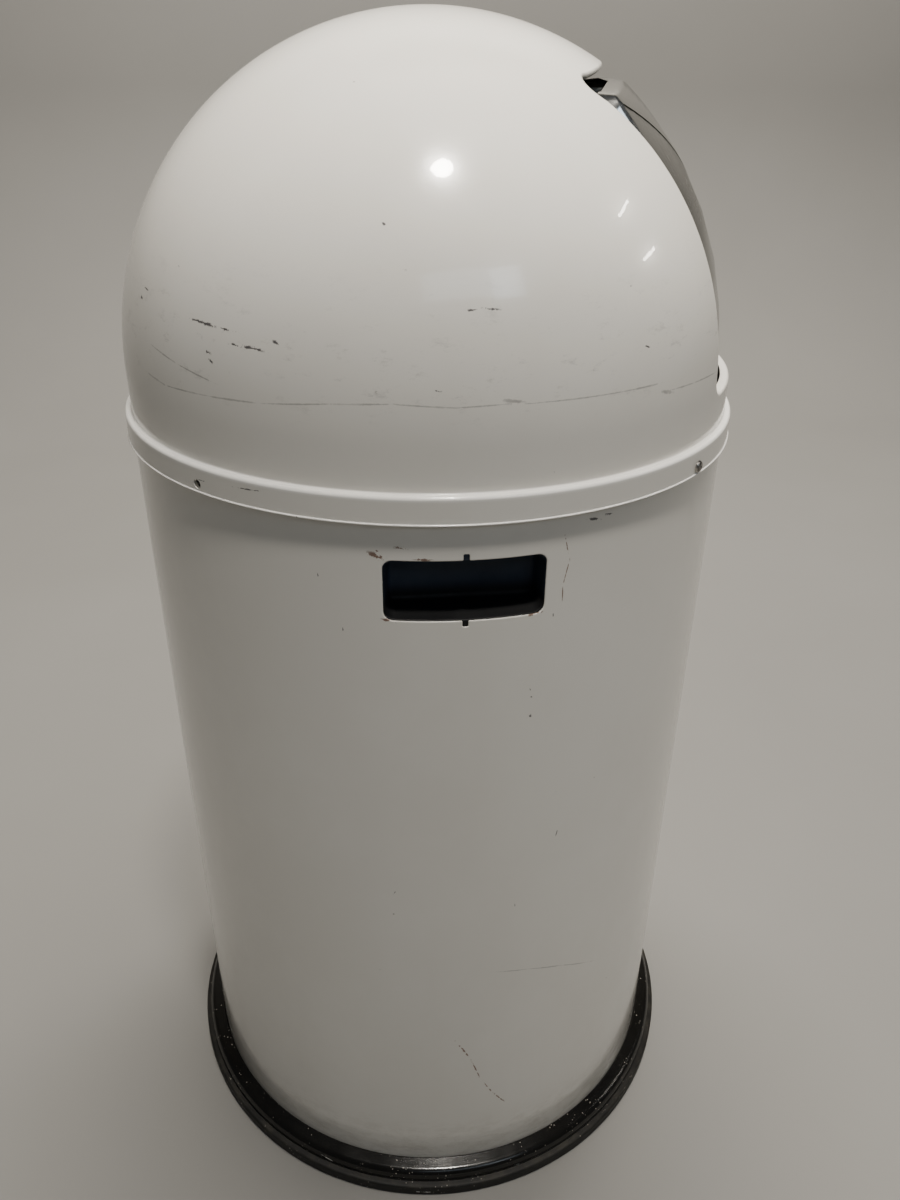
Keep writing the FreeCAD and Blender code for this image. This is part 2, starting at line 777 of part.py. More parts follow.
def torsion_springs():
    """Coil on the rod with one leg behind the flap and one under the dome.

    Drawn about +Z, then laid along the hinge.  The angles are seen along +X, from +Y.
    """
    pitch = 1.4
    flap_leg_angle = -69.4
    dome_leg_angle = -41.3
    height = pitch * (5 + (dome_leg_angle - flap_leg_angle) / 360)
    radius = size("spring_radius")
    helix = doc.addObject("Part::Helix", "SpringHelix")
    helix.Pitch = pitch
    helix.Height = height
    helix.setExpression("Radius", bound("spring_radius"))
    section = doc.addObject("Part::Circle", "SpringSection")
    section.setExpression("Radius", bound("spring_wire"))
    section.Placement = Placement(Vector(radius, 0, 0), Rotation(Vector(1, 0, 0), 90))
    coil = doc.addObject("Part::Sweep", "SpringCoil")
    coil.Sections = [section]
    coil.Spine = helix
    coil.Solid = True
    coil.Frenet = True
    flap_leg = solid("Cylinder", "SpringFlapLeg", Radius="spring_wire", Height="flap_leg")
    flap_leg.Placement = Placement(Vector(radius, 0, 0), Rotation(Vector(1, 0, 0), 90))
    dome_leg = solid("Cylinder", "SpringDomeLeg", Radius="spring_wire", Height="dome_leg")
    turn = Rotation(Vector(0, 0, 1), dome_leg_angle - flap_leg_angle)
    start = turn.multVec(Vector(radius, 0, 0)) + Vector(0, 0, height)
    dome_leg.Placement = Placement(start, turn.multiply(Rotation(Vector(1, 0, 0), -90)))
    right = fuse("SpringRight", coil, flap_leg, dome_leg)
    right.Placement = Placement(
        Vector(size("tab_x") + 3.8, size("hinge_y"), size("hinge_z")),
        Rotation(Vector(1, 0, 0), flap_leg_angle).multiply(hinge_frame()),
    )
    keep(right, "torsion_spring_right")
    keep(pair(right, "SpringLeft"), "torsion_spring_left")


# ---------------------------------------------------------------- inner bucket

def liner_bucket():
    """Tapered sheet wall with a wired bead round its mouth."""
    body = new_body("LinerBucket")
    wall = plane_sketch(body, "BucketProfile", "XZ_Plane")
    outline(wall, [
        ("bucket_foot_radius - bucket_sheet", "bucket_low"),
        ("bucket_foot_radius", "bucket_low"),
        ("bucket_mouth_radius", "bucket_high"),
        ("bucket_mouth_radius - bucket_sheet", "bucket_high"),
    ])
    revolve(body, "BucketWall", wall)
    holes = plane_sketch(body, "EarRivetHoles", "XZ_Plane")
    circle(holes, "ear_rivet_x", "ear_rivet_height", "ear_hole")
    circle(holes, "-ear_rivet_x", "ear_rivet_height", "ear_hole")
    pocket(body, "EarRivetCuts", holes, both_ways=True)
    bead = solid("Torus", "BucketBead", ("0", "0", "bucket_high"),
                 Radius1="bucket_mouth_radius + bead_radius - bucket_sheet", Radius2="bead_radius")
    keep(fuse("BucketWhole", body, bead), "liner_bucket")


def liner_bottom():
    """Pressed bottom set up inside the foot of the bucket."""
    body = new_body("LinerBottom")
    profile = plane_sketch(body, "PanProfile", "XZ_Plane")
    edge = "bucket_foot_radius - bucket_sheet - weld_gap"
    turn = "pan_height + bucket_sheet - pan_corner"
    outline(profile, [
        ("0", "pan_height"),
        (edge + " - pan_corner", "pan_height", "-(pan_corner - bucket_sheet)"),
        (edge + " - bucket_sheet", turn),
        (edge + " - bucket_sheet", "bucket_low"),
        (edge, "bucket_low"),
        (edge, turn, "pan_corner"),
        (edge + " - pan_corner", "pan_height + bucket_sheet"),
        ("0", "pan_height + bucket_sheet"),
    ])
    revolve(body, "Pan", profile)
    keep(body, "liner_bottom")


def liner_ears():
    """Joggled ears riveted inside the bucket, front and back, that carry the bail."""
    ears = []
    joggle = "ear_rivet_height + ear_step"
    far = "ear_face - overrun / 2"
    for index, angle in enumerate((0, 180)):
        name = "Ear%d" % index
        lower = box(name + "Lower", ("-ear_half", "ear_face", "ear_rivet_height - ear_drop"),
                    ("ear_half", "ear_face + ear_sheet", joggle))
        upper = box(name + "Upper", ("-ear_half", "ear_face - ear_joggle", joggle + " - ear_sheet"),
                    ("ear_half", "ear_face + ear_lap", "bail_height"))
        crown = cylinder(name + "Crown", ("0", "ear_face - ear_joggle", "bail_height"), "ear_half",
                         "ear_joggle + ear_lap", ALONG_Y)
        eye = cylinder(name + "Eye", ("0", far, "bail_height"), "bail_wire + bail_clear", "overrun", ALONG_Y)
        holes = [eye]
        for number, x in enumerate(("ear_rivet_x", "-ear_rivet_x")):
            hole_name = "%sHole%d" % (name, number)
            holes.append(cylinder(hole_name, (x, far, "ear_rivet_height"), "ear_hole", "overrun", ALONG_Y))
        plate = fuse(name + "Plate", lower, upper, crown)
        ears.append(turned(cut(name, plate, fuse(name + "Holes", *holes)), angle))
    keep(group("LinerEars", ears), "liner_ears")


def ear_rivets():
    """Two rivets through each ear and the wall of the bucket."""
    rivets = []
    head_y = "ear_face - ear_head_set"
    tail_y = "bucket_mouth_radius + weld_gap"
    for index, angle in enumerate((0, 180)):
        for number, x in enumerate(("ear_rivet_x", "-ear_rivet_x")):
            name = "EarRivet%d%d" % (index, number)
            head_place = (x, head_y, "ear_rivet_height")
            tail_place = (x, tail_y, "ear_rivet_height")
            rivets.append(turned(fuse(
                name,
                cylinder(name + "Head", head_place, "ear_head", "ear_head_height", ALONG_Y),
                cylinder(name + "Shank", head_place, "ear_shank", "ear_shank_length", ALONG_Y),
                cylinder(name + "Tail", tail_place, "ear_tail", "ear_tail_height", ALONG_Y),
            ), angle))
    keep(group("EarRivets", rivets), "ear_rivets")


def liner_bail():
    """Wire handle whose ends turn in through the ears, lying down to the right."""
    body = new_body("LinerBail")
    spine = plane_sketch(body, "BailPath", "XY_Plane")
    spine.setExpression("AttachmentOffset.Base.z", bound("bail_height"))
    bend_y = "sqrt((bail_radius - bail_bend)^2 - bail_bend^2)"
    reach = "bail_radius / (bail_radius - bail_bend)"
    outline(spine, [
        ("0", "bail_pin_end"),
        ("0", bend_y, "-bail_bend"),
        ("bail_bend * " + reach, "%s * %s" % (bend_y, reach), "-bail_radius"),
        ("bail_bend * " + reach, "-(%s * %s)" % (bend_y, reach), "-bail_bend"),
        ("0", "-(%s)" % bend_y),
        ("0", "-bail_pin_end"),
    ], closed=False)
    section = plane_sketch(body, "BailSection", "XZ_Plane")
    section.setExpression("AttachmentOffset.Base.z", bound("-bail_pin_end"))
    circle(section, "0", "bail_height", "bail_wire")
    pipe = body.newObject("PartDesign::AdditivePipe", "BailWire")
    pipe.Profile = section
    pipe.Spine = spine
    keep(body, "liner_bail")


def bail_grip():
    """Plastic tube round the middle of the bail."""
    def ring(name, radius, angle):
        return solid("Torus", name, ("0", "0", "bail_height"), None,
                     Radius1="bail_radius", Radius2=radius, Angle3=angle)

    outer = ring("GripOuter", "grip_radius", "grip_angle")
    bore = ring("GripBore", "bail_wire + bail_clear", "360")
    grip = cut("BailGrip", outer, bore)
    keep(turned(grip, -size("grip_angle") / 2), "bail_grip")


# ---------------------------------------------------------------- build, check and write

def build():
    body_shell()
    bottom_plate()
    bottom_angle()
    base_ring()
    for side, sign in SIDES:
        grip_cup(side, sign)
    lid_dome()
    lid_glides()
    lid_rivets()
    flap_panel()
    flap_tabs()
    hinge_brackets()
    hinge_rod()
    rod_clips()
    hinge_bushes()
    stop_pads()
    torsion_springs()
    liner_bucket()
    liner_bottom()
    liner_ears()
    ear_rivets()
    liner_bail()
    bail_grip()


def check():
    """Stop before anything is written if a feature failed or a shape is unsound."""
    for item in doc.Objects:
        if "Invalid" in item.State or "Error" in item.State:
            raise RuntimeError("%s failed: %s" % (item.Name, item.State))
    for node in nodes:
        if node.Shape.isNull() or not node.Shape.isValid() or not node.Shape.Solids:
            raise RuntimeError("%s has no sound shape" % node.Label)


def write():
    os.makedirs("parts", exist_ok=True)
    for node in nodes:
        node.Shape.exportStep("parts/%s.step" % node.Label)
        box_of = node.Shape.BoundBox
        print("%-22s %2d solids %10.1f mm3  x %7.1f %7.1f  y %7.1f %7.1f  z %6.1f %6.1f" % (
            node.Label, len(node.Shape.Solids), node.Shape.Volume,
            box_of.XMin, box_of.XMax, box_of.YMin, box_of.YMax, box_of.ZMin, box_of.ZMax))


build()
doc.recompute()
check()
write()
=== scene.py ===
"""Looks of the push-flap litter bin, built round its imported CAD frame.

The frame is in metres. The sizes below are in millimetres and degrees, and become metres where a mesh is
made. Heights in the materials, lights and camera are in metres. Azimuths run from +X towards +Y: the flap
faces -Y (270), and the camera looks at the side that faces -X (180).
"""

import math

import bmesh
import bpy
import numpy as np
from mathutils import Matrix, Vector
from mathutils.geometry import delaunay_2d_cdt


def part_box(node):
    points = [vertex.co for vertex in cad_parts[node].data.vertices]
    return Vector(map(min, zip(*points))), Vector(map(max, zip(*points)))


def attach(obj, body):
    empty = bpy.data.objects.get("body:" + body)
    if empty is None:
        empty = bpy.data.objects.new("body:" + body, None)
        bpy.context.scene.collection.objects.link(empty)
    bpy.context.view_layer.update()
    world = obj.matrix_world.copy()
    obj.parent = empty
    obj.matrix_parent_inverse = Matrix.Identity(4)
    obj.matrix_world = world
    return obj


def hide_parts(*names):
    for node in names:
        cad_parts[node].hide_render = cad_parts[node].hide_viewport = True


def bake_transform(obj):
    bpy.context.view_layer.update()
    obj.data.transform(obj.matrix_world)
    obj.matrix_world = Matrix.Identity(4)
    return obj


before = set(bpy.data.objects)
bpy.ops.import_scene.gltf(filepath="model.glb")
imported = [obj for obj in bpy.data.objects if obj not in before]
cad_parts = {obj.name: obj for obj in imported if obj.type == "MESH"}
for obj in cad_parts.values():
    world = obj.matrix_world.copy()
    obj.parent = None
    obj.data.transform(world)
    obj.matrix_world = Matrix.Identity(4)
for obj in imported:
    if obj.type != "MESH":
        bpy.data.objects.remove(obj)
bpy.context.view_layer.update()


def extent(node):
    """Lowest and highest corner of a CAD node, in millimetres."""
    low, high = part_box(node)
    return [round(v * 1000, 1) for v in low], [round(v * 1000, 1) for v in high]


# ---------------------------------------------------------------- sizes, from the CAD where it has them

COLUMNS = 600                       # steps round the wall and the lid

SHELL = extent("body_shell")
LID = extent("lid_dome")
RING = extent("base_ring")
BUCKET = extent("liner_bucket")
PLATE = extent("bottom_plate")

WALL_RADIUS = SHELL[1][0]
WALL_SHEET = 0.7
WALL_LOW, WALL_HIGH = SHELL[0][2], SHELL[1][2]
WALL_EDGE = 0.3                     # rounding of the wall's top and foot

HOLE_HALF, HOLE_LOW, HOLE_HIGH = 41.4, 480.0, 514.0
HOLE_CORNER = 5.0
NOTCH_HALF, NOTCH_DEEP = 1.5, 3.5
HOLE_EDGE = 0.6                     # rounding of the hole's cut edge
NOTCH_CORNER = 0.72                 # more than HOLE_EDGE, or the rounded edge would cross itself
HOLE_BAND = 10.0                    # how far the punched band reaches above and below the hole

RING_RADIUS, RING_TOP = RING[1][0], RING[1][2]
RING_INNER, RING_FOOT = 178.0, 3.0
RING_FLANGE = 8.8                   # top of the ring's flat flange
RING_STEP = (195.3, 9.4)            # radius and height where the belly rises from the flange
RING_BELLY = (197.2, 17.7)
RING_MOUTH = 185.0
RING_GROOVE, RING_GAP = 20.2, 0.15  # top of the wall's groove, and its clearance each side

CUP_DEPTH, CUP_CORNER, CUP_FLANGE = 20.0, 6.0, 8.6
CUP_WALL, CUP_SKIN = 1.8, 1.5       # thickness of its recess and of its flange
CUP_DRAFT = 3.5 / 24.0              # how much its sides lean, for each millimetre of depth
CUP_BOTTOM = 2.5                    # rounding where the sides meet the back

LID_RADIUS = LID[1][0]
LID_LOW, LID_TOP = LID[0][2], LID[1][2]
LID_SHEET = 0.8
SHELF_TOP = 549.0
DOME_RADIUS = 183.0
DOME_CENTRE = LID_TOP - DOME_RADIUS
DOME_FOOT = 551.0                   # where the dome's wall meets the fillet of the shelf
SKIRT_BAND = (LID_LOW + 1.4, SHELF_TOP - 2.2)   # the stretch of skirt that holds the rivet holes
OPENING = [                         # corners seen square from the front: x, height, rounding
    (-110.0, 570.0, 10.0), (110.0, 570.0, 10.0), (107.5, 648.2, 450.0), (83.3, 718.8, 11.0),
    (0.0, 734.1, 424.0), (-83.3, 718.8, 11.0), (-107.5, 648.2, 450.0),
]
OPENING_MIDDLE = 650.0
LIP_BEND, LIP_DEPTH = 2.0, 5.0

RIVET_HEIGHT = 538.6
RIVET_HOLE, RIVET_HOLE_EDGE = 2.5, 0.25
RIVET_HOLES = (45, 135, 225, 315)
EMPTY_HOLE = 135                    # this one has lost its rivet

FLAP_RADIUS = 187.0
FLAP_CENTRE = np.array((0.0, 13.5, 576.5))
FLAP_MIDDLE = (0.0, 645.0)
FLAP_GAPS = (3.0, 3.0, 3.0, 5.0, 5.0, 3.0, 3.0)   # sill, jamb, jamb, head, head, jamb, jamb
FLAP_SHEET, FLAP_BEND, FLAP_RETURN = 0.7, 4.0, 5.0


# ---------------------------------------------------------------- mesh helpers

def unit(v):
    """Each vector at length 1."""
    return v / np.maximum(np.linalg.norm(v, axis=-1, keepdims=True), 1e-12)


def rounded_path(corners, closed=True, spacing=4.0, step=9.0):
    """Points and right-hand normals along a line whose corners (x, y, rounding) are turned into arcs."""
    count = len(corners)
    at = [np.array(c[:2], float) for c in corners]
    points, normals = [], []

    def add(point, normal):
        """Adds a point and its normal, unless it repeats the last point."""
        if points and np.linalg.norm(points[-1] - point) < 1e-6:
            return
        points.append(point)
        normals.append(normal)

    for i in range(count):
        if not closed and i in (0, count - 1):
            leg = unit(at[1] - at[0]) if i == 0 else unit(at[-1] - at[-2])
            arc = [(at[i], np.array((leg[1], -leg[0])))]
        else:
            into = unit(at[i] - at[i - 1])
            out = unit(at[(i + 1) % count] - at[i])
            angle = math.atan2(into[0] * out[1] - into[1] * out[0], into @ out)
            radius = corners[i][2]
            start = at[i] - into * radius * math.tan(abs(angle) / 2)
            first = np.array((into[1], -into[0]))
            side = math.copysign(1.0, angle)
            centre = start - side * radius * first
            steps = max(2, math.ceil(abs(math.degrees(angle)) / step))
            arc = []
            for k in range(steps + 1):
                a = angle * k / steps
                n = np.array((first[0] * math.cos(a) - first[1] * math.sin(a),
                              first[0] * math.sin(a) + first[1] * math.cos(a)))
                arc.append((centre + side * radius * n, n))
        if points:
            gap = np.linalg.norm(arc[0][0] - points[-1])
            last = points[-1]
            for k in range(1, max(1, math.ceil(gap / spacing))):
                add(last + (arc[0][0] - last) * k / math.ceil(gap / spacing), arc[0][1])
        for point, normal in arc:
            add(point, normal)
    if closed:
        first, last = points[0], points[-1]
        gap = np.linalg.norm(first - last)
        for k in range(1, max(1, math.ceil(gap / spacing))):
            add(last + (first - last) * k / math.ceil(gap / spacing), normals[0])
        if np.linalg.norm(points[-1] - points[0]) < 1e-6:
            points.pop()
            normals.pop()
    return np.array(points), np.array(normals)


def azimuths(columns=COLUMNS):
    """The steps all the way round, in radians."""
    return np.radians(90.0 + 360.0 * np.arange(columns) / columns)


def turned(points, normals, angles):
    """Rows of a (radius, height) profile turned about the bin's axis."""
    c, s = np.cos(angles), np.sin(angles)
    rows = np.stack([points[:, :1] * c, points[:, :1] * s, np.repeat(points[:, 1:], len(angles), 1)], -1)
    facing = np.stack([normals[:, :1] * c, normals[:, :1] * s, np.repeat(normals[:, 1:], len(angles), 1)], -1)
    return rows, facing


def grid(rows, facing, round_rows=False):
    """One patch of quads from rows of points that each go all the way round: (points, normals, faces)."""
    height, width = rows.shape[:2]
    number = np.arange(height * width).reshape(height, width)
    number = np.concatenate([number, number[:, :1]], 1)
    if round_rows:
        number = np.concatenate([number, number[:1]], 0)
    faces = np.stack([number[:-1, :-1], number[:-1, 1:], number[1:, 1:], number[1:, :-1]], -1).reshape(-1, 4)
    return rows.reshape(-1, 3), facing.reshape(-1, 3), faces


def make(name, patches, smallest=1e-6):
    """A closed mesh from patches whose shared edges have the same points, shaded with their own normals."""
    points = np.concatenate([p[0] for p in patches]) / 1000.0
    normals = unit(np.concatenate([p[1] for p in patches]))
    faces, start = [], 0
    for patch in patches:
        corners = patch[0][patch[2]]
        across = np.cross(corners[:, 2] - corners[:, 0], corners[:, -1] - corners[:, 1])
        if patch[2].shape[1] == 3:
            across = np.cross(corners[:, 1] - corners[:, 0], corners[:, 2] - corners[:, 0])
        wrong = np.einsum("ij,ij->i", across, patch[1][patch[2]].mean(1)) < 0
        ordered = np.where(wrong[:, None], patch[2][:, ::-1], patch[2])
        faces += (ordered + start).tolist()
        start += len(patch[0])
    mesh = bpy.data.meshes.new(name)
    mesh.from_pydata(points.tolist(), [], faces)
    layer = mesh.attributes.new("facing", "FLOAT_VECTOR", "POINT")
    layer.data.foreach_set("vector", normals.astype(np.float32).ravel())
    work = bmesh.new()
    work.from_mesh(mesh)
    bmesh.ops.remove_doubles(work, verts=work.verts, dist=smallest)
    bmesh.ops.dissolve_degenerate(work, edges=work.edges, dist=smallest)
    work.to_mesh(mesh)
    work.free()
    kept = np.zeros(len(mesh.vertices) * 3, np.float32)
    mesh.attributes["facing"].data.foreach_get("vector", kept)
    mesh.attributes.remove(mesh.attributes["facing"])
    mesh.polygons.foreach_set("use_smooth", [True] * len(mesh.polygons))
    mesh.normals_split_custom_set_from_vertices(kept.reshape(-1, 3))
    made = bpy.data.objects.new(name, mesh)
    bpy.context.scene.collection.objects.link(made)
    return made


def on_wall(flat, radius):
    """Points of the unrolled wall, (arc length at WALL_RADIUS, height), on a cylinder of that radius."""
    angle = flat[:, 0] / WALL_RADIUS
    return np.stack([radius * np.cos(angle), radius * np.sin(angle), flat[:, 1]], -1)


def radial(flat):
    """The outward direction at each azimuth."""
    angle = flat[:, 0] / WALL_RADIUS
    return np.stack([np.cos(angle), np.sin(angle), np.zeros(len(flat))], -1)


def inside(flat, loop):
    """Whether each point is inside a closed loop."""
    x, y = flat[:, 0][:, None], flat[:, 1][:, None]
    x0, y0 = loop[:, 0], loop[:, 1]
    x1, y1 = np.roll(x0, -1), np.roll(y0, -1)
    crosses = (y0 > y) != (y1 > y)
    slope = np.where(y1 == y0, 1.0, y1 - y0)
    return (crosses & (x < x0 + (y - y0) * (x1 - x0) / slope)).sum(1) % 2 == 1


def punched_band(low, high, outer, sheet, holes, edge, every=4, rise=8.0):
    """A band of wall, both skins, with rounded cut edges round its holes.

    Each hole is (points, normals) on the unrolled wall, its normals towards the material.
    """
    angles = azimuths() * WALL_RADIUS
    around = np.append(angles, angles[0] + 2 * math.pi * WALL_RADIUS)
    border = np.concatenate([
        np.stack([around, np.full(len(around), low)], -1),
        np.stack([around[::-1], np.full(len(around), high)], -1),
    ])
    loops = [points + normals * edge for points, normals in holes]
    margin, nearest = 0.5, 1.6          # how clear of a hole's edge the inner points stay
    heights = np.linspace(low, high, max(2, round((high - low) / rise)) + 1)[1:-1]
    inner = np.array([(x, z) for x in around[::every][1:-1] for z in heights])
    if len(inner):
        free = np.ones(len(inner), bool)
        for points, normals in holes:
            wide = points + normals * (edge + margin)
            near = np.min(np.linalg.norm(inner[:, None] - wide[None], axis=-1), axis=1) < nearest
            free &= ~(inside(inner, wide) | near)
        inner = inner[free]
    flat = np.concatenate([border, *loops, inner.reshape(-1, 2)])
    edges, start = [], 0
    for count in [len(border)] + [len(loop) for loop in loops]:
        edges += [(start + k, start + (k + 1) % count) for k in range(count)]
        start += count
    found = delaunay_2d_cdt([Vector(p) for p in flat], edges, [], 0, 1e-7)
    flat = np.array([tuple(v) for v in found[0]])
    faces = np.array([f for f in found[2] if len(f) == 3])
    middles = flat[faces].mean(1)
    keep = np.ones(len(faces), bool)
    for loop in loops:
        keep &= ~inside(middles, loop)
    faces = faces[keep]
    facing = radial(flat)
    patches = [
        (on_wall(flat, outer), facing, faces),
        (on_wall(flat, outer - sheet), -facing, faces),
    ]
    for points, normals in holes:
        rows, looks = [], []
        out = radial(points)
        side = np.cross((0, 0, 1.0), out)
        into_hole = -(side * normals[:, :1] + np.array((0, 0, 1.0)) * normals[:, 1:])
        for turn in np.radians(np.arange(0, 181, 22.5)):
            depth = edge * (1 - math.cos(turn))
            if turn > math.pi / 2:
                depth = sheet - edge * (1 + math.cos(turn))
            shifted = points + normals * edge * (1 - math.sin(turn))
            rows.append(on_wall(shifted, outer - depth))
            looks.append(out * math.cos(turn) + into_hole * math.sin(turn))
        patches.append(grid(np.array(rows), np.array(looks)))
    return patches


def bend(points, normals, towards, radius, length, sheet, steps=6):
    """Rows of a sheet that bends inward along +Y and ends in a rounded edge.

    Points are where the surface would meet the bent wall; towards is the way across the surface to that wall.
    Gives the rows of the visible side with their normals, then the rows round the edge with theirs.
    """
    shallowest, spare = 0.3, 0.6
    across = unit(np.cross(normals, towards))
    down = np.array((0.0, 1.0, 0.0)) - across * across[:, 1:2]
    down = unit(down)
    angle = np.arccos(np.clip(np.einsum("ij,ij->i", towards, down), -1, 1))[:, None]
    back = radius * np.tan(angle / 2)
    centre = points - towards * back - normals * radius
    turned_towards = unit(towards)
    rows, looks = [], []
    for k in range(steps + 1):
        a = angle * k / steps
        n = normals * np.cos(a) + turned_towards * np.sin(a)
        rows.append(centre + n * radius)
        looks.append(n)
    wall = looks[-1]
    steepness = np.maximum(-np.einsum("ij,ij->i", down, normals), shallowest)[:, None]
    ends = points + down * np.maximum(length / steepness, back + spare)
    for share in (0.5, 1.0):
        rows.append(rows[steps] * (1 - share) + ends * share)
        looks.append(wall)
    middle = ends - wall * sheet / 2
    rounding, round_looks = [], []
    for a in np.radians(np.arange(30, 180, 30)):
        n = wall * math.cos(a) + down * math.sin(a)
        rounding.append(middle + n * sheet / 2)
        round_looks.append(n)
    return rows, looks, rounding, round_looks


def both_skins(rows, looks, rounding, round_looks, sheet):
    """The visible rows, the rounded edge, then the same rows on the hidden side, in reverse."""
    back_rows = [r - n * sheet for r, n in zip(rows, looks)][::-1]
    back_looks = [-n for n in looks][::-1]
    return np.array(rows + rounding + back_rows), np.array(looks + round_looks + back_looks)


def revolve(name, corners, columns=360, spacing=12.0, step=15.0):
    """A whole turned piece from its (radius, height) corners."""
    points, normals = rounded_path(corners, True, spacing, step)
    return make(name, [grid(*turned(points, normals, azimuths(columns)), round_rows=True)])


# ---------------------------------------------------------------- lid

def dome_to_flat(points):
    """The dome's points laid out flat about its crown, their distance kept."""
    out = []
    quarter = DOME_RADIUS * math.pi / 2
    for x, y, z in points:
        angle = math.atan2(y, x)
        if z >= DOME_CENTRE:
            run = DOME_RADIUS * math.atan2(math.hypot(x, y), z - DOME_CENTRE)
        else:
            run = quarter + DOME_CENTRE - z
        out.append((run * math.cos(angle), run * math.sin(angle)))
    return np.array(out)


def flat_to_dome(flat):
    """Points seen square from the front, laid on the dome: places and normals."""
    run = np.linalg.norm(flat, axis=-1)
    angle = np.arctan2(flat[..., 1], flat[..., 0])
    quarter = DOME_RADIUS * math.pi / 2
    tilt = np.minimum(run, quarter) / DOME_RADIUS
    normals = np.stack([np.sin(tilt) * np.cos(angle), np.sin(tilt) * np.sin(angle), np.cos(tilt)], -1)
    points = normals * DOME_RADIUS
    points[..., 2] += DOME_CENTRE - np.maximum(run - quarter, 0)
    return points, normals


def front_of_dome(across):
    """Points (x, height) carried back onto the front of the dome."""
    drop = np.maximum(across[:, 1] - DOME_CENTRE, 0)
    y = -np.sqrt(DOME_RADIUS ** 2 - across[:, 0] ** 2 - drop ** 2)
    points = np.stack([across[:, 0], y, across[:, 1]], -1)
    normals = np.stack([across[:, 0], y, drop], -1) / DOME_RADIUS
    return points, normals


def lid():
    """Dome, shelf and skirt in one sheet, its opening's edge drawn in."""
    angles = azimuths()
    quarter = DOME_RADIUS * math.pi / 2
    reach = quarter + DOME_CENTRE - DOME_FOOT
    border = np.stack([reach * np.cos(angles), reach * np.sin(angles)], -1)
    outline, sideways = rounded_path(OPENING, True, 1.0, 2.0)
    hub = dome_to_flat(front_of_dome(np.array([(0.0, OPENING_MIDDLE)]))[0])[0]
    laid = dome_to_flat(front_of_dome(outline)[0])
    seen = np.unwrap(np.arctan2(laid[:, 1] - hub[1], laid[:, 0] - hub[0]))
    order = 1 if seen[-1] > seen[0] else -1
    seen, outline, sideways = seen[::order], outline[::order], sideways[::order]
    wanted = np.arctan2(border[:, 1] - hub[1], border[:, 0] - hub[0])
    wanted = seen[0] + np.mod(wanted - seen[0], 2 * math.pi)
    seen = np.append(seen, seen[0] + 2 * math.pi)
    outline = np.concatenate([outline, outline[:1]])
    sideways = np.concatenate([sideways, sideways[:1]])
    edge = np.stack([np.interp(wanted, seen, outline[:, k]) for k in (0, 1)], -1)
    out = unit(np.stack([np.interp(wanted, seen, sideways[:, k]) for k in (0, 1)], -1))
    points, normals = front_of_dome(edge)
    away = np.stack([out[:, 0], np.zeros(len(out)), out[:, 1]], -1)
    towards = -unit(away - normals * np.einsum("ij,ij->i", away, normals)[:, None])
    rows, looks, rounding, round_looks = bend(points, normals, towards, LIP_BEND, LIP_DEPTH, LID_SHEET)
    start = dome_to_flat(rows[0])
    first = flat_to_dome(start)
    rows[0], looks[0] = first
    dome_rows, dome_looks = [], []
    rings = 60
    for k in range(rings):
        p, n = flat_to_dome(border + (start - border) * k / rings)
        dome_rows.append(p)
        dome_looks.append(n)
    shelf, shelf_normals = rounded_path([
        (LID_RADIUS, SKIRT_BAND[1], 0), (LID_RADIUS, SHELF_TOP, 1.9),
        (DOME_RADIUS, SHELF_TOP, 0.9), (DOME_RADIUS, DOME_FOOT, 0),
    ], False, 4.0, 12.0)
    shelf_rows, shelf_looks = turned(shelf, shelf_normals, angles)
    all_rows = list(shelf_rows[:-1]) + dome_rows + rows
    all_looks = list(shelf_looks[:-1]) + dome_looks + looks
    hem, hem_normals = rounded_path([
        (LID_RADIUS - LID_SHEET, SKIRT_BAND[0], 0), (LID_RADIUS - LID_SHEET, LID_LOW, 0.45),
        (LID_RADIUS + 0.6, LID_LOW, 0.5), (LID_RADIUS + 0.6, LID_LOW + 0.8, 0.3),
        (LID_RADIUS, LID_LOW + 1.1, 0.3), (LID_RADIUS, SKIRT_BAND[0], 0),
    ], False, 1.0, 18.0)
    return make("lid_dome_sheet", [
        grid(*both_skins(all_rows, all_looks, rounding, round_looks, LID_SHEET)),
        grid(*turned(hem, hem_normals, angles)),
        *punched_band(SKIRT_BAND[0], SKIRT_BAND[1], LID_RADIUS, LID_SHEET,
                      [rivet_hole(a) for a in RIVET_HOLES], RIVET_HOLE_EDGE, 3, 4.0),
    ])


def rivet_hole(azimuth, steps=24):
    """A round hole's outline on the unrolled skirt, which starts at azimuth 90."""
    angle = 2 * math.pi * np.arange(steps) / steps
    normals = np.stack([np.cos(angle), np.sin(angle)], -1)
    along = math.radians(azimuth if azimuth > 90 else azimuth + 360) * WALL_RADIUS
    return np.array((along, RIVET_HEIGHT)) + normals * RIVET_HOLE, normals


def placed(rows, looks, azimuth):
    """Rows made about +X turned to an azimuth."""
    c, s = math.cos(math.radians(azimuth)), math.sin(math.radians(azimuth))
    turn = np.array(((c, s, 0), (-s, c, 0), (0, 0, 1)))
    return rows @ turn, looks @ turn


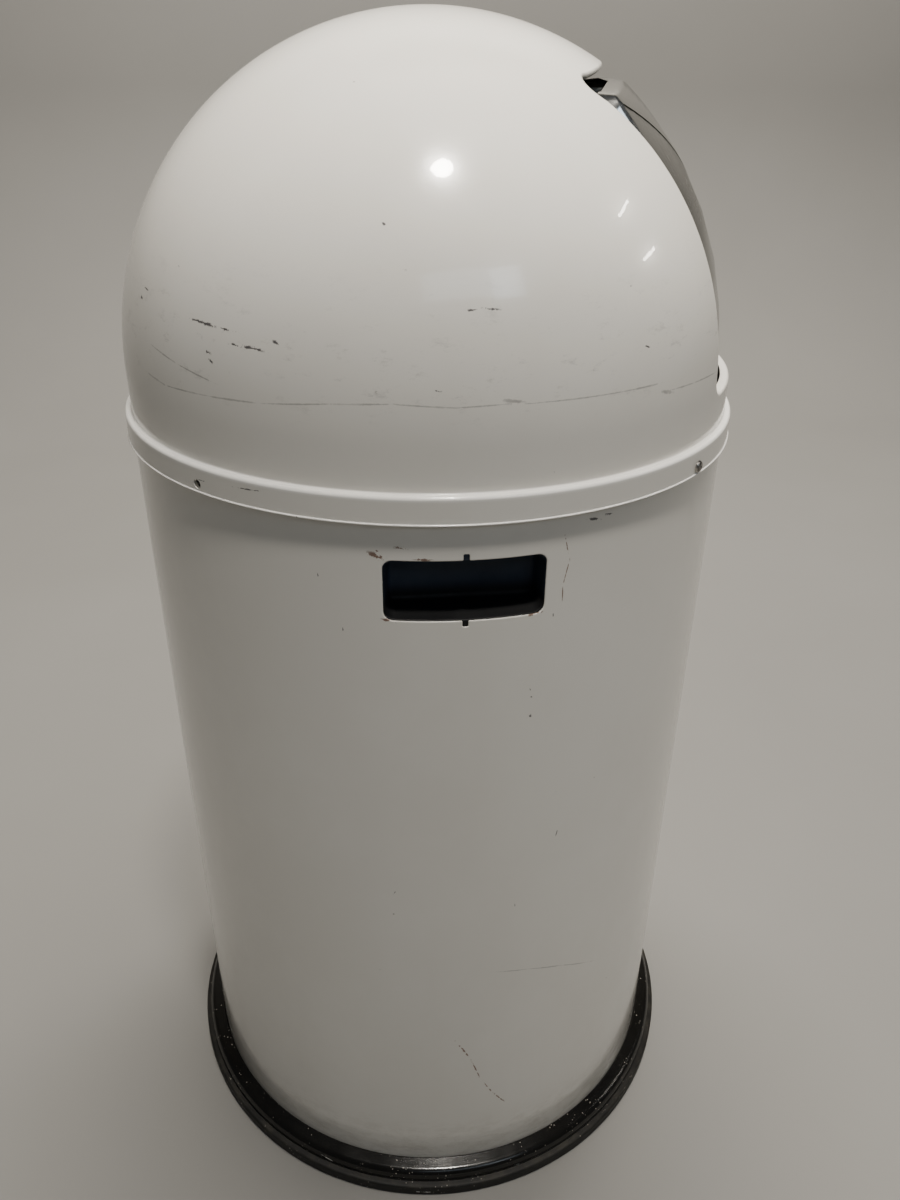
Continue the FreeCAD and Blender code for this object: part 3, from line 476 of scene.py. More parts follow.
def rivets():
    """Domed rivet heads with their shanks and tails."""
    profile, facing = rounded_path([
        (0.0, 184.4, 0), (2.9, 184.4, 0.15), (2.9, 184.85, 0.15), (2.4, 184.85, 0.1), (2.4, 187.05, 0.1),
        (3.4, 187.05, 0.15), (3.4, 187.7, 0.5), (2.5, 188.75, 1.0), (0.95, 188.9, 0.3), (0.75, 188.3, 0.2),
        (0.0, 188.3, 0),
    ], False, 1.0, 15.0)
    steps = 36
    angle = 2 * math.pi * np.arange(steps) / steps
    c, s = np.cos(angle), np.sin(angle)
    outward = np.repeat(profile[:, 1:], steps, 1)
    rows = np.stack([outward, profile[:, :1] * c, profile[:, :1] * s + RIVET_HEIGHT], -1)
    looks = np.stack([np.repeat(facing[:, 1:], steps, 1), facing[:, :1] * c, facing[:, :1] * s], -1)
    return make("lid_rivet_heads", [grid(*placed(rows, looks, a)) for a in RIVET_HOLES if a != EMPTY_HOLE])


# ---------------------------------------------------------------- flap

def inset(corners, gaps):
    """The corners of a closed outline with each edge moved inward; edge k runs from corner k to the next."""
    at = [np.array(c[:2], float) for c in corners]
    count = len(at)
    made = []
    for k in range(count):
        before, after = unit(at[k] - at[k - 1]), unit(at[(k + 1) % count] - at[k])
        p = at[k] + gaps[k - 1] * np.array((-before[1], before[0]))
        q = at[k] + gaps[k] * np.array((-after[1], after[0]))
        across = before[0] * after[1] - before[1] * after[0]
        run = ((q - p)[0] * after[1] - (q - p)[1] * after[0]) / across
        corner = p + before * run
        made.append((corner[0], corner[1], corners[k][2] - (gaps[k - 1] + gaps[k]) / 2))
    return made


def flap():
    """Domed panel with softly bent edges and a short return."""
    outline, sideways = rounded_path(inset(OPENING, FLAP_GAPS), True, 3.0, 6.0)
    hub = np.array(FLAP_MIDDLE)

    def lifted(flat):
        x, z = flat[:, 0], flat[:, 1] - FLAP_CENTRE[2]
        y = -np.sqrt(FLAP_RADIUS ** 2 - x ** 2 - z ** 2)
        n = np.stack([x, y, z], -1) / FLAP_RADIUS
        return n * FLAP_RADIUS + FLAP_CENTRE, n

    points, normals = lifted(outline)
    away = np.stack([sideways[:, 0], np.zeros(len(sideways)), sideways[:, 1]], -1)
    towards = unit(away - normals * np.einsum("ij,ij->i", away, normals)[:, None])
    rows, looks, rounding, round_looks = bend(
        points, normals, towards, FLAP_BEND, FLAP_RETURN, FLAP_SHEET, 10)
    rim = rows[0][:, (0, 2)]
    rows[0], looks[0] = lifted(rim)
    face_rows, face_looks = [], []
    for share in np.linspace(0, 1, 25)[:-1]:
        p, n = lifted(hub + (rim - hub) * share)
        face_rows.append(p)
        face_looks.append(n)
    return make("flap_panel_sheet", [
        grid(*both_skins(face_rows + rows, face_looks + looks, rounding, round_looks, FLAP_SHEET)),
    ])


# ---------------------------------------------------------------- body

def hand_hole(azimuth):
    """The hole's outline on the unrolled wall, with its notches, normals towards the material."""
    h, d, r = NOTCH_HALF, NOTCH_DEEP, NOTCH_CORNER
    points, normals = rounded_path([
        (-HOLE_HALF, HOLE_LOW, HOLE_CORNER), (-h, HOLE_LOW, r), (-h, HOLE_LOW - d, r), (h, HOLE_LOW - d, r),
        (h, HOLE_LOW, r), (HOLE_HALF, HOLE_LOW, HOLE_CORNER), (HOLE_HALF, HOLE_HIGH, HOLE_CORNER),
        (h, HOLE_HIGH, r), (h, HOLE_HIGH + d, r), (-h, HOLE_HIGH + d, r), (-h, HOLE_HIGH, r),
        (-HOLE_HALF, HOLE_HIGH, HOLE_CORNER),
    ], True, 2.5, 15.0)
    points[:, 0] = WALL_RADIUS * np.arcsin(points[:, 0] / WALL_RADIUS)
    points[:, 0] += math.radians(azimuth) * WALL_RADIUS
    return points, normals


def body_wall():
    """The wall in three bands: above the hand holes, below them, and the punched one between."""
    low, high = HOLE_LOW - HOLE_BAND, HOLE_HIGH + HOLE_BAND
    outer, inner = WALL_RADIUS, WALL_RADIUS - WALL_SHEET
    top, top_normals = rounded_path([
        (outer, high, 0), (outer, WALL_HIGH, WALL_EDGE), (inner, WALL_HIGH, WALL_EDGE), (inner, high, 0),
    ], False, 12.0, 18.0)
    foot, foot_normals = rounded_path([
        (inner, low, 0), (inner, WALL_LOW, WALL_EDGE), (outer, WALL_LOW, WALL_EDGE), (outer, low, 0),
    ], False, 12.0, 18.0)
    return make("body_wall_sheet", [
        grid(*turned(top, top_normals, azimuths())),
        grid(*turned(foot, foot_normals, azimuths())),
        *punched_band(low, high, outer, WALL_SHEET, [hand_hole(180), hand_hole(360)], HOLE_EDGE),
    ])


def base_ring():
    """Black moulding: flange, belly, a groove for the wall's foot, and a ledge under the bottom plate."""
    outside, inside_wall = WALL_RADIUS + RING_GAP, WALL_RADIUS - WALL_SHEET - RING_GAP
    groove, ledge, web = WALL_LOW - 0.2, PLATE[0][2] - 0.3, WALL_RADIUS - 4
    return revolve("base_ring_moulding", [
        (RING_INNER, 0.0, 0.5), (RING_RADIUS, 0.0, 1.5), (RING_RADIUS, RING_FLANGE, 2.0), (*RING_STEP, 0.6),
        (*RING_BELLY, 6.5), (RING_MOUTH, RING_TOP, 0.5), (outside, RING_GROOVE, 0.2), (outside, groove, 0.2),
        (inside_wall, groove, 0.2), (inside_wall, ledge, 0.4), (web, ledge, 0.4), (web, RING_FOOT, 0.6),
        (RING_INNER, RING_FOOT, 0.6),
    ], COLUMNS, 6.0, 12.0)


def grip_cup(side, azimuth):
    """Moulded cup behind a hand hole: curved flange, drafted recess, closed back."""
    face = WALL_RADIUS - WALL_SHEET - 0.1
    half, rise = HOLE_HALF - 0.4, (HOLE_HIGH - HOLE_LOW) / 2 - 0.4
    middle = (HOLE_HIGH + HOLE_LOW) / 2
    floor = face - CUP_DEPTH + 0.1
    lean = CUP_DRAFT * CUP_DEPTH
    points, normals = rounded_path([
        (-half, middle - rise, CUP_CORNER), (half, middle - rise, CUP_CORNER),
        (half, middle + rise, CUP_CORNER), (-half, middle + rise, CUP_CORNER),
    ], True, 3.0, 9.0)
    rows, looks = [], []

    def add(shift, depth, tilt, base=0.0, reverse=False):
        """A row shifted outward, lying depth below a curved base, or at depth itself where there is none."""
        flat = points + normals * shift
        x = np.full(len(flat), depth)
        out = np.array((1.0, 0, 0))
        if base:
            x = np.sqrt(base ** 2 - flat[:, 0] ** 2) - depth
            out = unit(np.stack([x, flat[:, 0], np.zeros(len(flat))], -1))
        rows.append(np.stack([x, flat[:, 0], flat[:, 1]], -1))
        into = -np.stack([np.zeros(len(flat)), normals[:, 0], normals[:, 1]], -1)
        n = out * math.cos(tilt) + into * math.sin(tilt)
        looks.append(-n if reverse else n)

    # The side that shows: flange, rounded mouth, leaning sides, rounded bottom, back.
    for shift in (CUP_FLANGE, 4.5, 1.0):
        add(shift, 0.0, 0.0, face)
    for turn in np.radians((22.5, 45.0, 67.5, 90.0)):
        add(1.0 - math.sin(turn), 1.0 - math.cos(turn), turn, face)
    add(-lean, floor + CUP_BOTTOM, math.radians(82))
    for turn in np.radians((67.5, 45.0, 22.5, 0.0)):
        add(-lean - CUP_BOTTOM * (1 - math.sin(turn)), floor + CUP_BOTTOM * (1 - math.cos(turn)), turn)
    spine = np.stack([np.full(len(points), floor), np.clip(points[:, 0], rise - half, half - rise),
                      np.full(len(points), middle)], -1)
    forward = np.repeat(np.array(((1.0, 0, 0),)), len(points), 0)
    last = rows[-1]
    for share in (0.5, 1.0):
        rows.append(last + (spine - last) * share)
        looks.append(forward)
    front = len(rows)

    # The hidden side, from the middle of the back out to the flange.
    turned_edge = 1.0
    add(CUP_WALL - lean - turned_edge, floor - CUP_WALL, 0.0, reverse=True)
    edge = rows.pop()
    looks.pop()
    behind = spine - (CUP_WALL, 0, 0)
    for share in (1.0, 0.5, 0.0):
        rows.append(edge + (behind - edge) * share)
        looks.append(-forward)
    for turn in np.radians((30.0, 60.0, 90.0)):
        inward, forth = turned_edge * (1 - math.sin(turn)), turned_edge * (1 - math.cos(turn))
        add(CUP_WALL - lean - inward, floor - CUP_WALL + forth, turn, reverse=True)
    add(CUP_WALL + 0.2, CUP_SKIN + 1.0, math.radians(80), face, True)
    add(CUP_WALL + 1.0, CUP_SKIN, 0.0, face, True)
    add(CUP_FLANGE - 0.6, CUP_SKIN, 0.0, face, True)
    add(CUP_FLANGE, CUP_SKIN - 0.5, math.radians(90), face, True)
    add(CUP_FLANGE, 0.4, math.radians(90), face, True)
    rows, looks = np.array(rows), np.array(looks)
    return make("grip_cup_moulding_" + side, [
        grid(*placed(rows[:front], looks[:front], azimuth)),
        grid(*placed(rows[front:], looks[front:], azimuth)),
        grid(*placed(rows[[-1, 0]], np.array([looks[-1], looks[-1]]), azimuth)),
    ])


# ---------------------------------------------------------------- inner bucket

def bucket():
    """Tapered wall with a wired bead at its mouth."""
    foot, mouth, sheet, bead = 148.0, 156.0, 0.5, 3.5
    low, top = BUCKET[0][2], BUCKET[1][2]
    return revolve("bucket_wall", [
        (foot - sheet, low, 0.2), (foot, low, 0.2), (mouth, top - 4.6, 0.8),
        (mouth + bead, top - 3.7, 1.6), (mouth + bead, top, 1.9), (mouth - sheet, top, 1.9),
    ])


# ---------------------------------------------------------------- material helpers

class Paint:
    """A material's node tree, written a node at a time."""

    def __init__(self, name):
        self.material = bpy.data.materials.new(name)
        self.material.use_nodes = True
        self.tree = self.material.node_tree
        self.shader = self.tree.nodes["Principled BSDF"]
        self.place = self.add("ShaderNodeTexCoord").outputs["Object"]

    def add(self, kind, **settings):
        node = self.tree.nodes.new(kind)
        for key, value in settings.items():
            setattr(node, key, value)
        return node

    def put(self, socket, value):
        """Joins a link to a socket, or sets its plain value."""
        if isinstance(value, bpy.types.NodeSocket):
            self.tree.links.new(value, socket)
        else:
            socket.default_value = value

    def set(self, **values):
        """Give the shader's sockets values or links; underscores stand for spaces."""
        for key, value in values.items():
            self.put(self.shader.inputs[key.replace("_", " ")], value)

    def maths(self, how, a, b=0.0, clamp=False):
        """One number worked out from one or two others."""
        node = self.add("ShaderNodeMath", operation=how, use_clamp=clamp)
        self.put(node.inputs[0], a)
        self.put(node.inputs[1], b)
        return node.outputs[0]

    def scaled(self, stretch):
        node = self.add("ShaderNodeMapping")
        self.put(node.inputs["Vector"], self.place)
        node.inputs["Scale"].default_value = stretch
        return node.outputs[0]

    def noise(self, scale, detail=3.0, rough=0.55, at=None):
        """A noise value over the surface."""
        node = self.add("ShaderNodeTexNoise")
        self.put(node.inputs["Vector"], at or self.place)
        node.inputs["Scale"].default_value = scale
        node.inputs["Detail"].default_value = detail
        node.inputs["Roughness"].default_value = rough
        return node.outputs["Fac"]

    def cells(self, scale, output="Distance"):
        """Many scattered cells: the distance to the nearest, or another output."""
        node = self.add("ShaderNodeTexVoronoi")
        self.put(node.inputs["Vector"], self.place)
        node.inputs["Scale"].default_value = scale
        return node.outputs[output]

    def ramp(self, value, low, high, to_low=0.0, to_high=1.0):
        """A smooth step from to_low at low to to_high at high."""
        node = self.add("ShaderNodeMapRange", interpolation_type="SMOOTHSTEP")
        self.put(node.inputs["Value"], value)
        sockets = ("From Min", "From Max", "To Min", "To Max")
        for socket, number in zip(sockets, (low, high, to_low, to_high)):
            self.put(node.inputs[socket], number)
        return node.outputs[0]

    def times(self, a, b):
        """Two numbers multiplied."""
        return self.maths("MULTIPLY", a, b)

    def blend(self, share, a, b):
        """Colour a where share is 0, colour b where it is 1."""
        node = self.add("ShaderNodeMix", data_type="RGBA")
        self.put(node.inputs[0], share)
        self.put(node.inputs[6], a)
        self.put(node.inputs[7], b)
        return node.outputs[2]

    def bump(self, height, strength, distance, after=None):
        """A normal bent by a height value."""
        node = self.add("ShaderNodeBump")
        node.inputs["Strength"].default_value = strength
        node.inputs["Distance"].default_value = distance
        self.put(node.inputs["Height"], height)
        if after:
            self.put(node.inputs["Normal"], after)
        return node.outputs[0]


def rgb(r, g, b):
    return (r, g, b, 1.0)


def unrolled(paint):
    """Each point's place on the unrolled wall: arc length from azimuth 180, height, 0, in millimetres."""
    parts = paint.add("ShaderNodeSeparateXYZ")
    paint.put(parts.inputs[0], paint.place)
    turn = paint.maths("ARCTAN2", paint.times(parts.outputs[1], -1.0), paint.times(parts.outputs[0], -1.0))
    join = paint.add("ShaderNodeCombineXYZ")
    paint.put(join.inputs[0], paint.times(turn, WALL_RADIUS))
    paint.put(join.inputs[1], paint.times(parts.outputs[2], 1000.0))
    return join.outputs[0], parts.outputs[2]


def marks(paint, point, wear, lines, reach=0.5):
    """How strongly any of several thin ellipses covers a point.

    Each line is its two ends as azimuth and height, then its half width.
    """
    nearest = None
    for a0, z0, a1, z1, width in lines:
        start = Vector((math.radians(a0 - 180) * WALL_RADIUS, z0, 0.0))
        end = Vector((math.radians(a1 - 180) * WALL_RADIUS, z1, 0.0))
        span = end - start
        lay = paint.add("ShaderNodeMapping", vector_type="TEXTURE")
        paint.put(lay.inputs["Vector"], point)
        lay.inputs["Location"].default_value = (start + end) / 2
        lay.inputs["Rotation"].default_value = (0.0, 0.0, math.atan2(span.y, span.x))
        lay.inputs["Scale"].default_value = (span.length * reach + width, width, 1.0)
        away = paint.add("ShaderNodeVectorMath", operation="LENGTH")
        paint.put(away.inputs[0], lay.outputs[0])
        found = away.outputs["Value"]
        nearest = found if nearest is None else paint.maths("MINIMUM", nearest, found)
    return paint.ramp(paint.maths("DIVIDE", nearest, wear), 1.0, 0.45)


# Scratches and scuffs, each as azimuth, height, azimuth, height, half width.
# Painted shade, near black, on the wall behind the empty rivet hole, for the shadow in the gap under the
# skirt: its radius and distance from the axis, in metres.
PAINTED_SHADE_RADIUS, PAINTED_SHADE_AWAY = 0.0048, 0.182
PAINTED_SHADE_TURN = math.radians(EMPTY_HOLE)
PAINTED_SHADE_PLACE = (PAINTED_SHADE_AWAY * math.cos(PAINTED_SHADE_TURN), PAINTED_SHADE_AWAY * math.sin(PAINTED_SHADE_TURN), RIVET_HEIGHT / 1000)

DARK_LINES = [
    (134.0, 619.5, 137.5, 618.6, 0.75), (137.0, 618.8, 139.5, 618.0, 1.02),
    (139.5, 618.2, 143.5, 617.5, 0.68), (142.5, 612.0, 145.5, 611.2, 0.54),
    (145.5, 611.6, 149.0, 611.0, 0.82), (151.0, 615.4, 151.8, 614.6, 0.82),
    (117.0, 622.5, 118.5, 621.0, 0.88), (118.0, 627.0, 120.5, 626.0, 0.41),
    (138.0, 606.5, 139.0, 605.8, 0.75), (139.0, 602.6, 139.4, 602.0, 0.82),
    (180.0, 631.5, 182.0, 632.3, 0.61), (182.0, 632.3, 184.5, 631.6, 0.54),
    (175.0, 598.2, 175.8, 598.0, 0.61), (167.0, 665.2, 167.4, 664.8, 0.61),
    (143.5, 543.4, 148.5, 544.4, 0.35), (200.0, 528.6, 202.5, 527.6, 0.88),
    (202.8, 529.6, 205.5, 528.6, 0.75), (191.4, 433.6, 191.5, 432.2, 0.75),
    (191.6, 428.6, 191.7, 427.8, 0.54), (191.7, 415.8, 191.7, 414.6, 0.82),
    (156.6, 503.0, 156.6, 501.0, 0.35), (160.3, 474.0, 160.3, 472.0, 0.35),
    (194.7, 478.0, 194.7, 476.2, 0.41), (190.9, 273.0, 190.9, 271.0, 0.48),
    (199.0, 326.4, 198.7, 321.0, 0.35), (154.3, 534.6, 154.4, 533.4, 0.54),
    (167.3, 288.0, 167.9, 291.5, 0.35), (209.5, 610.0, 210.2, 609.2, 0.41),
    (129.0, 641.0, 129.4, 640.0, 0.48), (135.2, 541.4, 136.9, 541.6, 0.35),
]
SCUFF_LINES = [
    (122.0, 586.0, 127.5, 584.0, 0.66), (127.5, 584.0, 138.0, 585.4, 0.48),
    (138.0, 585.4, 148.5, 587.0, 0.54), (148.5, 587.0, 160.0, 590.5, 0.42),
    (160.0, 590.5, 169.0, 592.0, 0.54), (169.0, 592.0, 178.0, 590.5, 0.48),
    (178.0, 590.5, 186.0, 591.5, 0.42), (185.5, 593.0, 187.6, 592.0, 1.14),
    (188.5, 591.0, 206.0, 591.0, 0.42), (206.0, 591.0, 212.0, 591.0, 0.54),
    (213.5, 586.5, 215.6, 584.9, 1.14), (216.0, 586.0, 222.0, 585.5, 0.48),
    (222.0, 585.5, 231.0, 585.0, 0.48), (124.0, 601.0, 131.0, 597.0, 0.54),
    (131.0, 597.0, 139.0, 593.0, 0.48), (188.5, 214.0, 195.0, 209.0, 0.42),
    (195.0, 209.0, 202.5, 200.0, 0.48), (202.5, 200.0, 211.0, 186.0, 0.42),
]
RUST_LINES = [
    (179.7, 151.0, 182.8, 132.0, 0.75), (182.8, 132.0, 185.2, 108.0, 0.5),
    (185.2, 108.0, 188.1, 89.0, 0.65), (188.1, 89.0, 191.8, 71.0, 0.55),
    (165.4, 517.0, 167.2, 514.9, 1.9), (166.0, 520.0, 166.6, 518.5, 0.9),
    (169.4, 521.2, 170.6, 520.8, 1.0), (172.3, 515.2, 174.4, 514.9, 0.8),
    (166.3, 481.0, 168.6, 479.6, 0.9), (190.4, 479.6, 192.6, 480.6, 0.8),
    (195.8, 522.5, 197.0, 508.0, 0.35), (197.0, 508.0, 196.1, 494.0, 0.3),
    (196.1, 494.0, 196.2, 485.0, 0.3),
]


def enamel():
    """Old white stove enamel: glossy, a little uneven, with scuffs, scratches and rust at the hand hole,
    painted highlights on the bead and hem, faint painted reflection streaks, and painted shade behind the
    empty rivet hole.
    """
    paint = Paint("white_enamel_worn")
    point, height = unrolled(paint)
    fine = paint.noise(260.0, 3.0, 0.7)
    cloud = paint.noise(9.0, 4.0, 0.6)
    patch = paint.noise(58.0, 5.0, 0.8, paint.scaled((1.0, 1.0, 2.4)))
    wear = paint.ramp(fine, 0.40, 0.62, 0.3, 1.5)
    faint_wear = paint.ramp(fine, 0.36, 0.60, 0.75, 1.2)
    dark = marks(paint, point, wear, DARK_LINES)
    scuff = marks(paint, point, faint_wear, SCUFF_LINES, 0.72)
    rust = marks(paint, point, wear, RUST_LINES)
    base = paint.blend(paint.ramp(cloud, 0.35, 0.68), rgb(0.765, 0.74, 0.685), rgb(0.79, 0.768, 0.715))
    # Painted reflection: faint vertical streaks painted into the colour, standing in for the streaks in the
    # wall's reflection.
    painted_reflection_streaks = paint.ramp(paint.noise(14.0, 3.0, 0.6, paint.scaled((1.0, 1.0, 0.12))), 0.52, 0.74, 0.0, 0.08)
    base = paint.blend(painted_reflection_streaks, base, rgb(0.66, 0.62, 0.54))
    low = paint.times(paint.ramp(height, 0.075, 0.022), paint.ramp(patch, 0.42, 0.66, 0.0, 0.4))
    base = paint.blend(low, base, rgb(0.40, 0.365, 0.31))
    # Painted highlights: the shelf's bead and the skirt's hem are painted whiter than the enamel, standing in
    # for the bright lines that light makes along them.
    bead = paint.times(paint.ramp(height, 0.5455, 0.5475), paint.ramp(height, 0.5502, 0.5492))
    hem = paint.times(paint.ramp(height, 0.5338, 0.5342), paint.ramp(height, 0.5358, 0.5350))
    base = paint.blend(paint.times(paint.maths("MAXIMUM", bead, hem), 0.8), base, rgb(0.93, 0.915, 0.88))
    # The wall is painted greyer in an even band just above the ring.
    base = paint.blend(paint.ramp(height, 0.047, 0.040, 0.0, 0.30), base, rgb(0.42, 0.41, 0.38))
    rub = paint.times(paint.ramp(patch, 0.55, 0.72),
                      paint.times(paint.ramp(height, 0.575, 0.60), paint.ramp(height, 0.660, 0.605)))
    base = paint.blend(paint.times(rub, 0.42), base, rgb(0.36, 0.345, 0.33))
    specks = paint.times(paint.ramp(paint.cells(95.0), 0.075, 0.03), paint.ramp(patch, 0.60, 0.66))
    base = paint.blend(paint.times(specks, 0.8), base, rgb(0.16, 0.14, 0.12))
    base = paint.blend(paint.times(scuff, paint.ramp(patch, 0.32, 0.60, 0.3, 0.7)), base,
                       rgb(0.30, 0.29, 0.28))
    base = paint.blend(paint.times(dark, 0.93), base, rgb(0.06, 0.055, 0.06))
    base = paint.blend(paint.times(rust, 0.9), base,
                       paint.blend(fine, rgb(0.27, 0.13, 0.06), rgb(0.08, 0.035, 0.03)))
    # Painted shade: the wall behind the empty rivet hole is painted near black.
    painted_shade = paint.add("ShaderNodeMapping", vector_type="TEXTURE")
    paint.put(painted_shade.inputs["Vector"], paint.place)
    painted_shade.inputs["Location"].default_value = PAINTED_SHADE_PLACE
    painted_shade.inputs["Scale"].default_value = (PAINTED_SHADE_RADIUS, PAINTED_SHADE_RADIUS, PAINTED_SHADE_RADIUS)
    painted_shade_reach = paint.add("ShaderNodeVectorMath", operation="LENGTH")
    paint.put(painted_shade_reach.inputs[0], painted_shade.outputs[0])
    base = paint.blend(paint.ramp(painted_shade_reach.outputs["Value"], 1.0, 0.85), base, rgb(0.004, 0.004, 0.004))
    worn = paint.maths("MAXIMUM", dark, rust)
    rough = paint.maths("MAXIMUM", paint.ramp(cloud, 0.3, 0.75, 0.17, 0.25), paint.times(worn, 0.7))
    peel = paint.bump(paint.noise(210.0, 1.0, 0.5), 0.06, 0.0003)
    soft = paint.bump(paint.noise(9.0, 1.0, 0.5), 0.10, 0.0016, peel)
    paint.set(Base_Color=base, Roughness=rough, Normal=soft, Coat_Weight=0.55, Coat_Normal=soft,
              Coat_Roughness=0.02, IOR=1.5)
    return paint.material


def ring_plastic():
    """Satin black moulding with dust in its steps, pale scuffs and a short scratch."""
    paint = Paint("black_plastic_dusty")
    point, height = unrolled(paint)
    wear = paint.ramp(paint.noise(320.0, 3.0, 0.7), 0.4, 0.62, 0.3, 1.4)
    scratch = marks(paint, point, wear, [(192.0, 12.5, 194.5, 10.0, 0.6), (150.0, 14.5, 152.5, 13.0, 0.5),
                                         (171.0, 4.0, 175.0, 3.6, 0.5)])
    dust = paint.ramp(paint.noise(120.0, 5.0, 0.8), 0.56, 0.80, 0.0, 0.16)
    ledge = paint.times(paint.ramp(height, 0.0112, 0.0092), paint.ramp(height, 0.0060, 0.0086))
    ledge = paint.times(ledge, paint.ramp(paint.noise(70.0, 4.0, 0.7), 0.40, 0.75, 0.0, 0.22))
    grains = paint.times(paint.ramp(paint.cells(360.0), 0.20, 0.06),
                         paint.ramp(paint.noise(55.0, 3.0), 0.48, 0.62))
    base = paint.blend(paint.noise(26.0, 4.0), rgb(0.0035, 0.0033, 0.003), rgb(0.008, 0.0075, 0.0065))
    base = paint.blend(paint.maths("ADD", dust, ledge, True), base, rgb(0.10, 0.09, 0.07))
    base = paint.blend(grains, base, rgb(0.42, 0.39, 0.34))
    base = paint.blend(paint.times(scratch, 0.9), base, rgb(0.75, 0.74, 0.70))
    rough = paint.ramp(paint.noise(33.0, 4.0, 0.7), 0.3, 0.75, 0.16, 0.25)
    rough = paint.maths("MAXIMUM", rough, paint.ramp(height, 0.0115, 0.0095, 0.0, 0.62))
    texture = paint.bump(paint.noise(900.0, 2.0), 0.15, 0.0002)
    paint.set(Base_Color=base, Roughness=rough,
              Normal=paint.bump(paint.noise(24.0, 3.0), 0.15, 0.001, texture))
    return paint.material


def cup_plastic():
    """Dark blue-black moulding, matt and a little dusty, with painted shade towards the bottom of its recess.
    """
    paint = Paint("cup_plastic_dark")
    height = unrolled(paint)[1]
    base = paint.blend(paint.ramp(paint.noise(18.0, 5.0), 0.3, 0.75),
                       rgb(0.014, 0.024, 0.044), rgb(0.021, 0.037, 0.068))
    # Painted shade: the recess is painted near black towards its bottom, where the wall and skirt shade it.
    base = paint.blend(paint.ramp(height, 0.494, 0.485), base, rgb(0.001, 0.0012, 0.002))
    dust = paint.times(paint.ramp(height, 0.488, 0.500),
                       paint.ramp(paint.noise(140.0, 5.0, 0.8), 0.60, 0.84, 0.0, 0.12))
    base = paint.blend(dust, base, rgb(0.12, 0.12, 0.12))
    paint.set(Base_Color=base, Roughness=paint.ramp(paint.noise(40.0, 4.0), 0.3, 0.7, 0.55, 0.75),
              Normal=paint.bump(paint.noise(700.0, 2.0), 0.2, 0.0002))
    return paint.material


def polished_steel():
    """Bright polished sheet with hairline scratches and smears."""
    paint = Paint("polished_steel_worn")
    hair = paint.noise(90.0, 5.0, 0.7, paint.scaled((10.0, 1.0, 0.7)))
    smear = paint.ramp(paint.noise(16.0, 5.0, 0.65), 0.35, 0.75)
    base = paint.blend(smear, rgb(0.68, 0.68, 0.665), rgb(0.78, 0.775, 0.755))
    rough = paint.maths("ADD", paint.ramp(smear, 0.0, 1.0, 0.13, 0.24),
                        paint.ramp(hair, 0.45, 0.8, 0.0, 0.10))
    paint.set(Base_Color=base, Metallic=1.0, Roughness=rough,
              Normal=paint.bump(hair, 0.05, 0.0002, paint.bump(paint.noise(14.0, 2.0), 0.12, 0.002)))
    return paint.material


def galvanised():
    """Zinc-coated sheet with spangle."""
    paint = Paint("galvanised_sheet")
    spangle = paint.cells(70.0, output="Color")
    grey = paint.add("ShaderNodeRGBToBW")
    paint.put(grey.inputs[0], spangle)
    tone = paint.blend(grey.outputs[0], rgb(0.40, 0.42, 0.43), rgb(0.62, 0.64, 0.65))
    stain = paint.ramp(paint.noise(9.0, 5.0, 0.7), 0.5, 0.75, 0.0, 0.4)
    paint.set(Base_Color=paint.blend(stain, tone, rgb(0.30, 0.28, 0.25)), Metallic=0.9,
              Roughness=paint.ramp(grey.outputs[0], 0.0, 1.0, 0.32, 0.50),
              Normal=paint.bump(paint.noise(45.0, 4.0), 0.10, 0.0006))
    return paint.material


def metal(name, dark, light, rough, scale=120.0, stretch=(1.0, 1.0, 1.0)):
    """Plain plated or drawn metal with a worn surface."""
    paint = Paint(name)
    tone = paint.noise(scale, 5.0, 0.65, paint.scaled(stretch))
    paint.set(Base_Color=paint.blend(paint.ramp(tone, 0.35, 0.7), rgb(*dark), rgb(*light)), Metallic=1.0,
              Roughness=paint.ramp(tone, 0.3, 0.75, rough, rough + 0.16),
              Normal=paint.bump(paint.noise(scale * 5, 3.0), 0.12, 0.0002))
    return paint.material


def moulded(name, dark, light, rough, scale=90.0):
    """A plain moulded plastic or rubber between two shades."""
    paint = Paint(name)
    tone = paint.noise(scale, 5.0, 0.6)
    paint.set(Base_Color=paint.blend(paint.ramp(tone, 0.3, 0.72), rgb(*dark), rgb(*light)),
              Roughness=paint.ramp(tone, 0.3, 0.75, rough, rough + 0.15),
              Normal=paint.bump(paint.noise(scale * 6, 3.0), 0.2, 0.0002))
    return paint.material


# ---------------------------------------------------------------- put together

ENAMEL = enamel()
GALVANISED = galvanised()
ZINC = metal("zinc_plate", (0.46, 0.46, 0.44), (0.64, 0.64, 0.62), 0.26)
RIVET_METAL = metal("rivet_steel_dulled", (0.16, 0.15, 0.14), (0.52, 0.50, 0.47), 0.30, 420.0)
SPRING = metal("spring_wire", (0.30, 0.30, 0.31), (0.50, 0.50, 0.50), 0.24, 160.0, (6.0, 1.0, 1.0))
NYLON = moulded("nylon_natural", (0.66, 0.64, 0.58), (0.76, 0.74, 0.69), 0.38)
RUBBER = moulded("rubber_black", (0.016, 0.016, 0.016), (0.034, 0.033, 0.032), 0.62)
CUP_PLASTIC = cup_plastic()

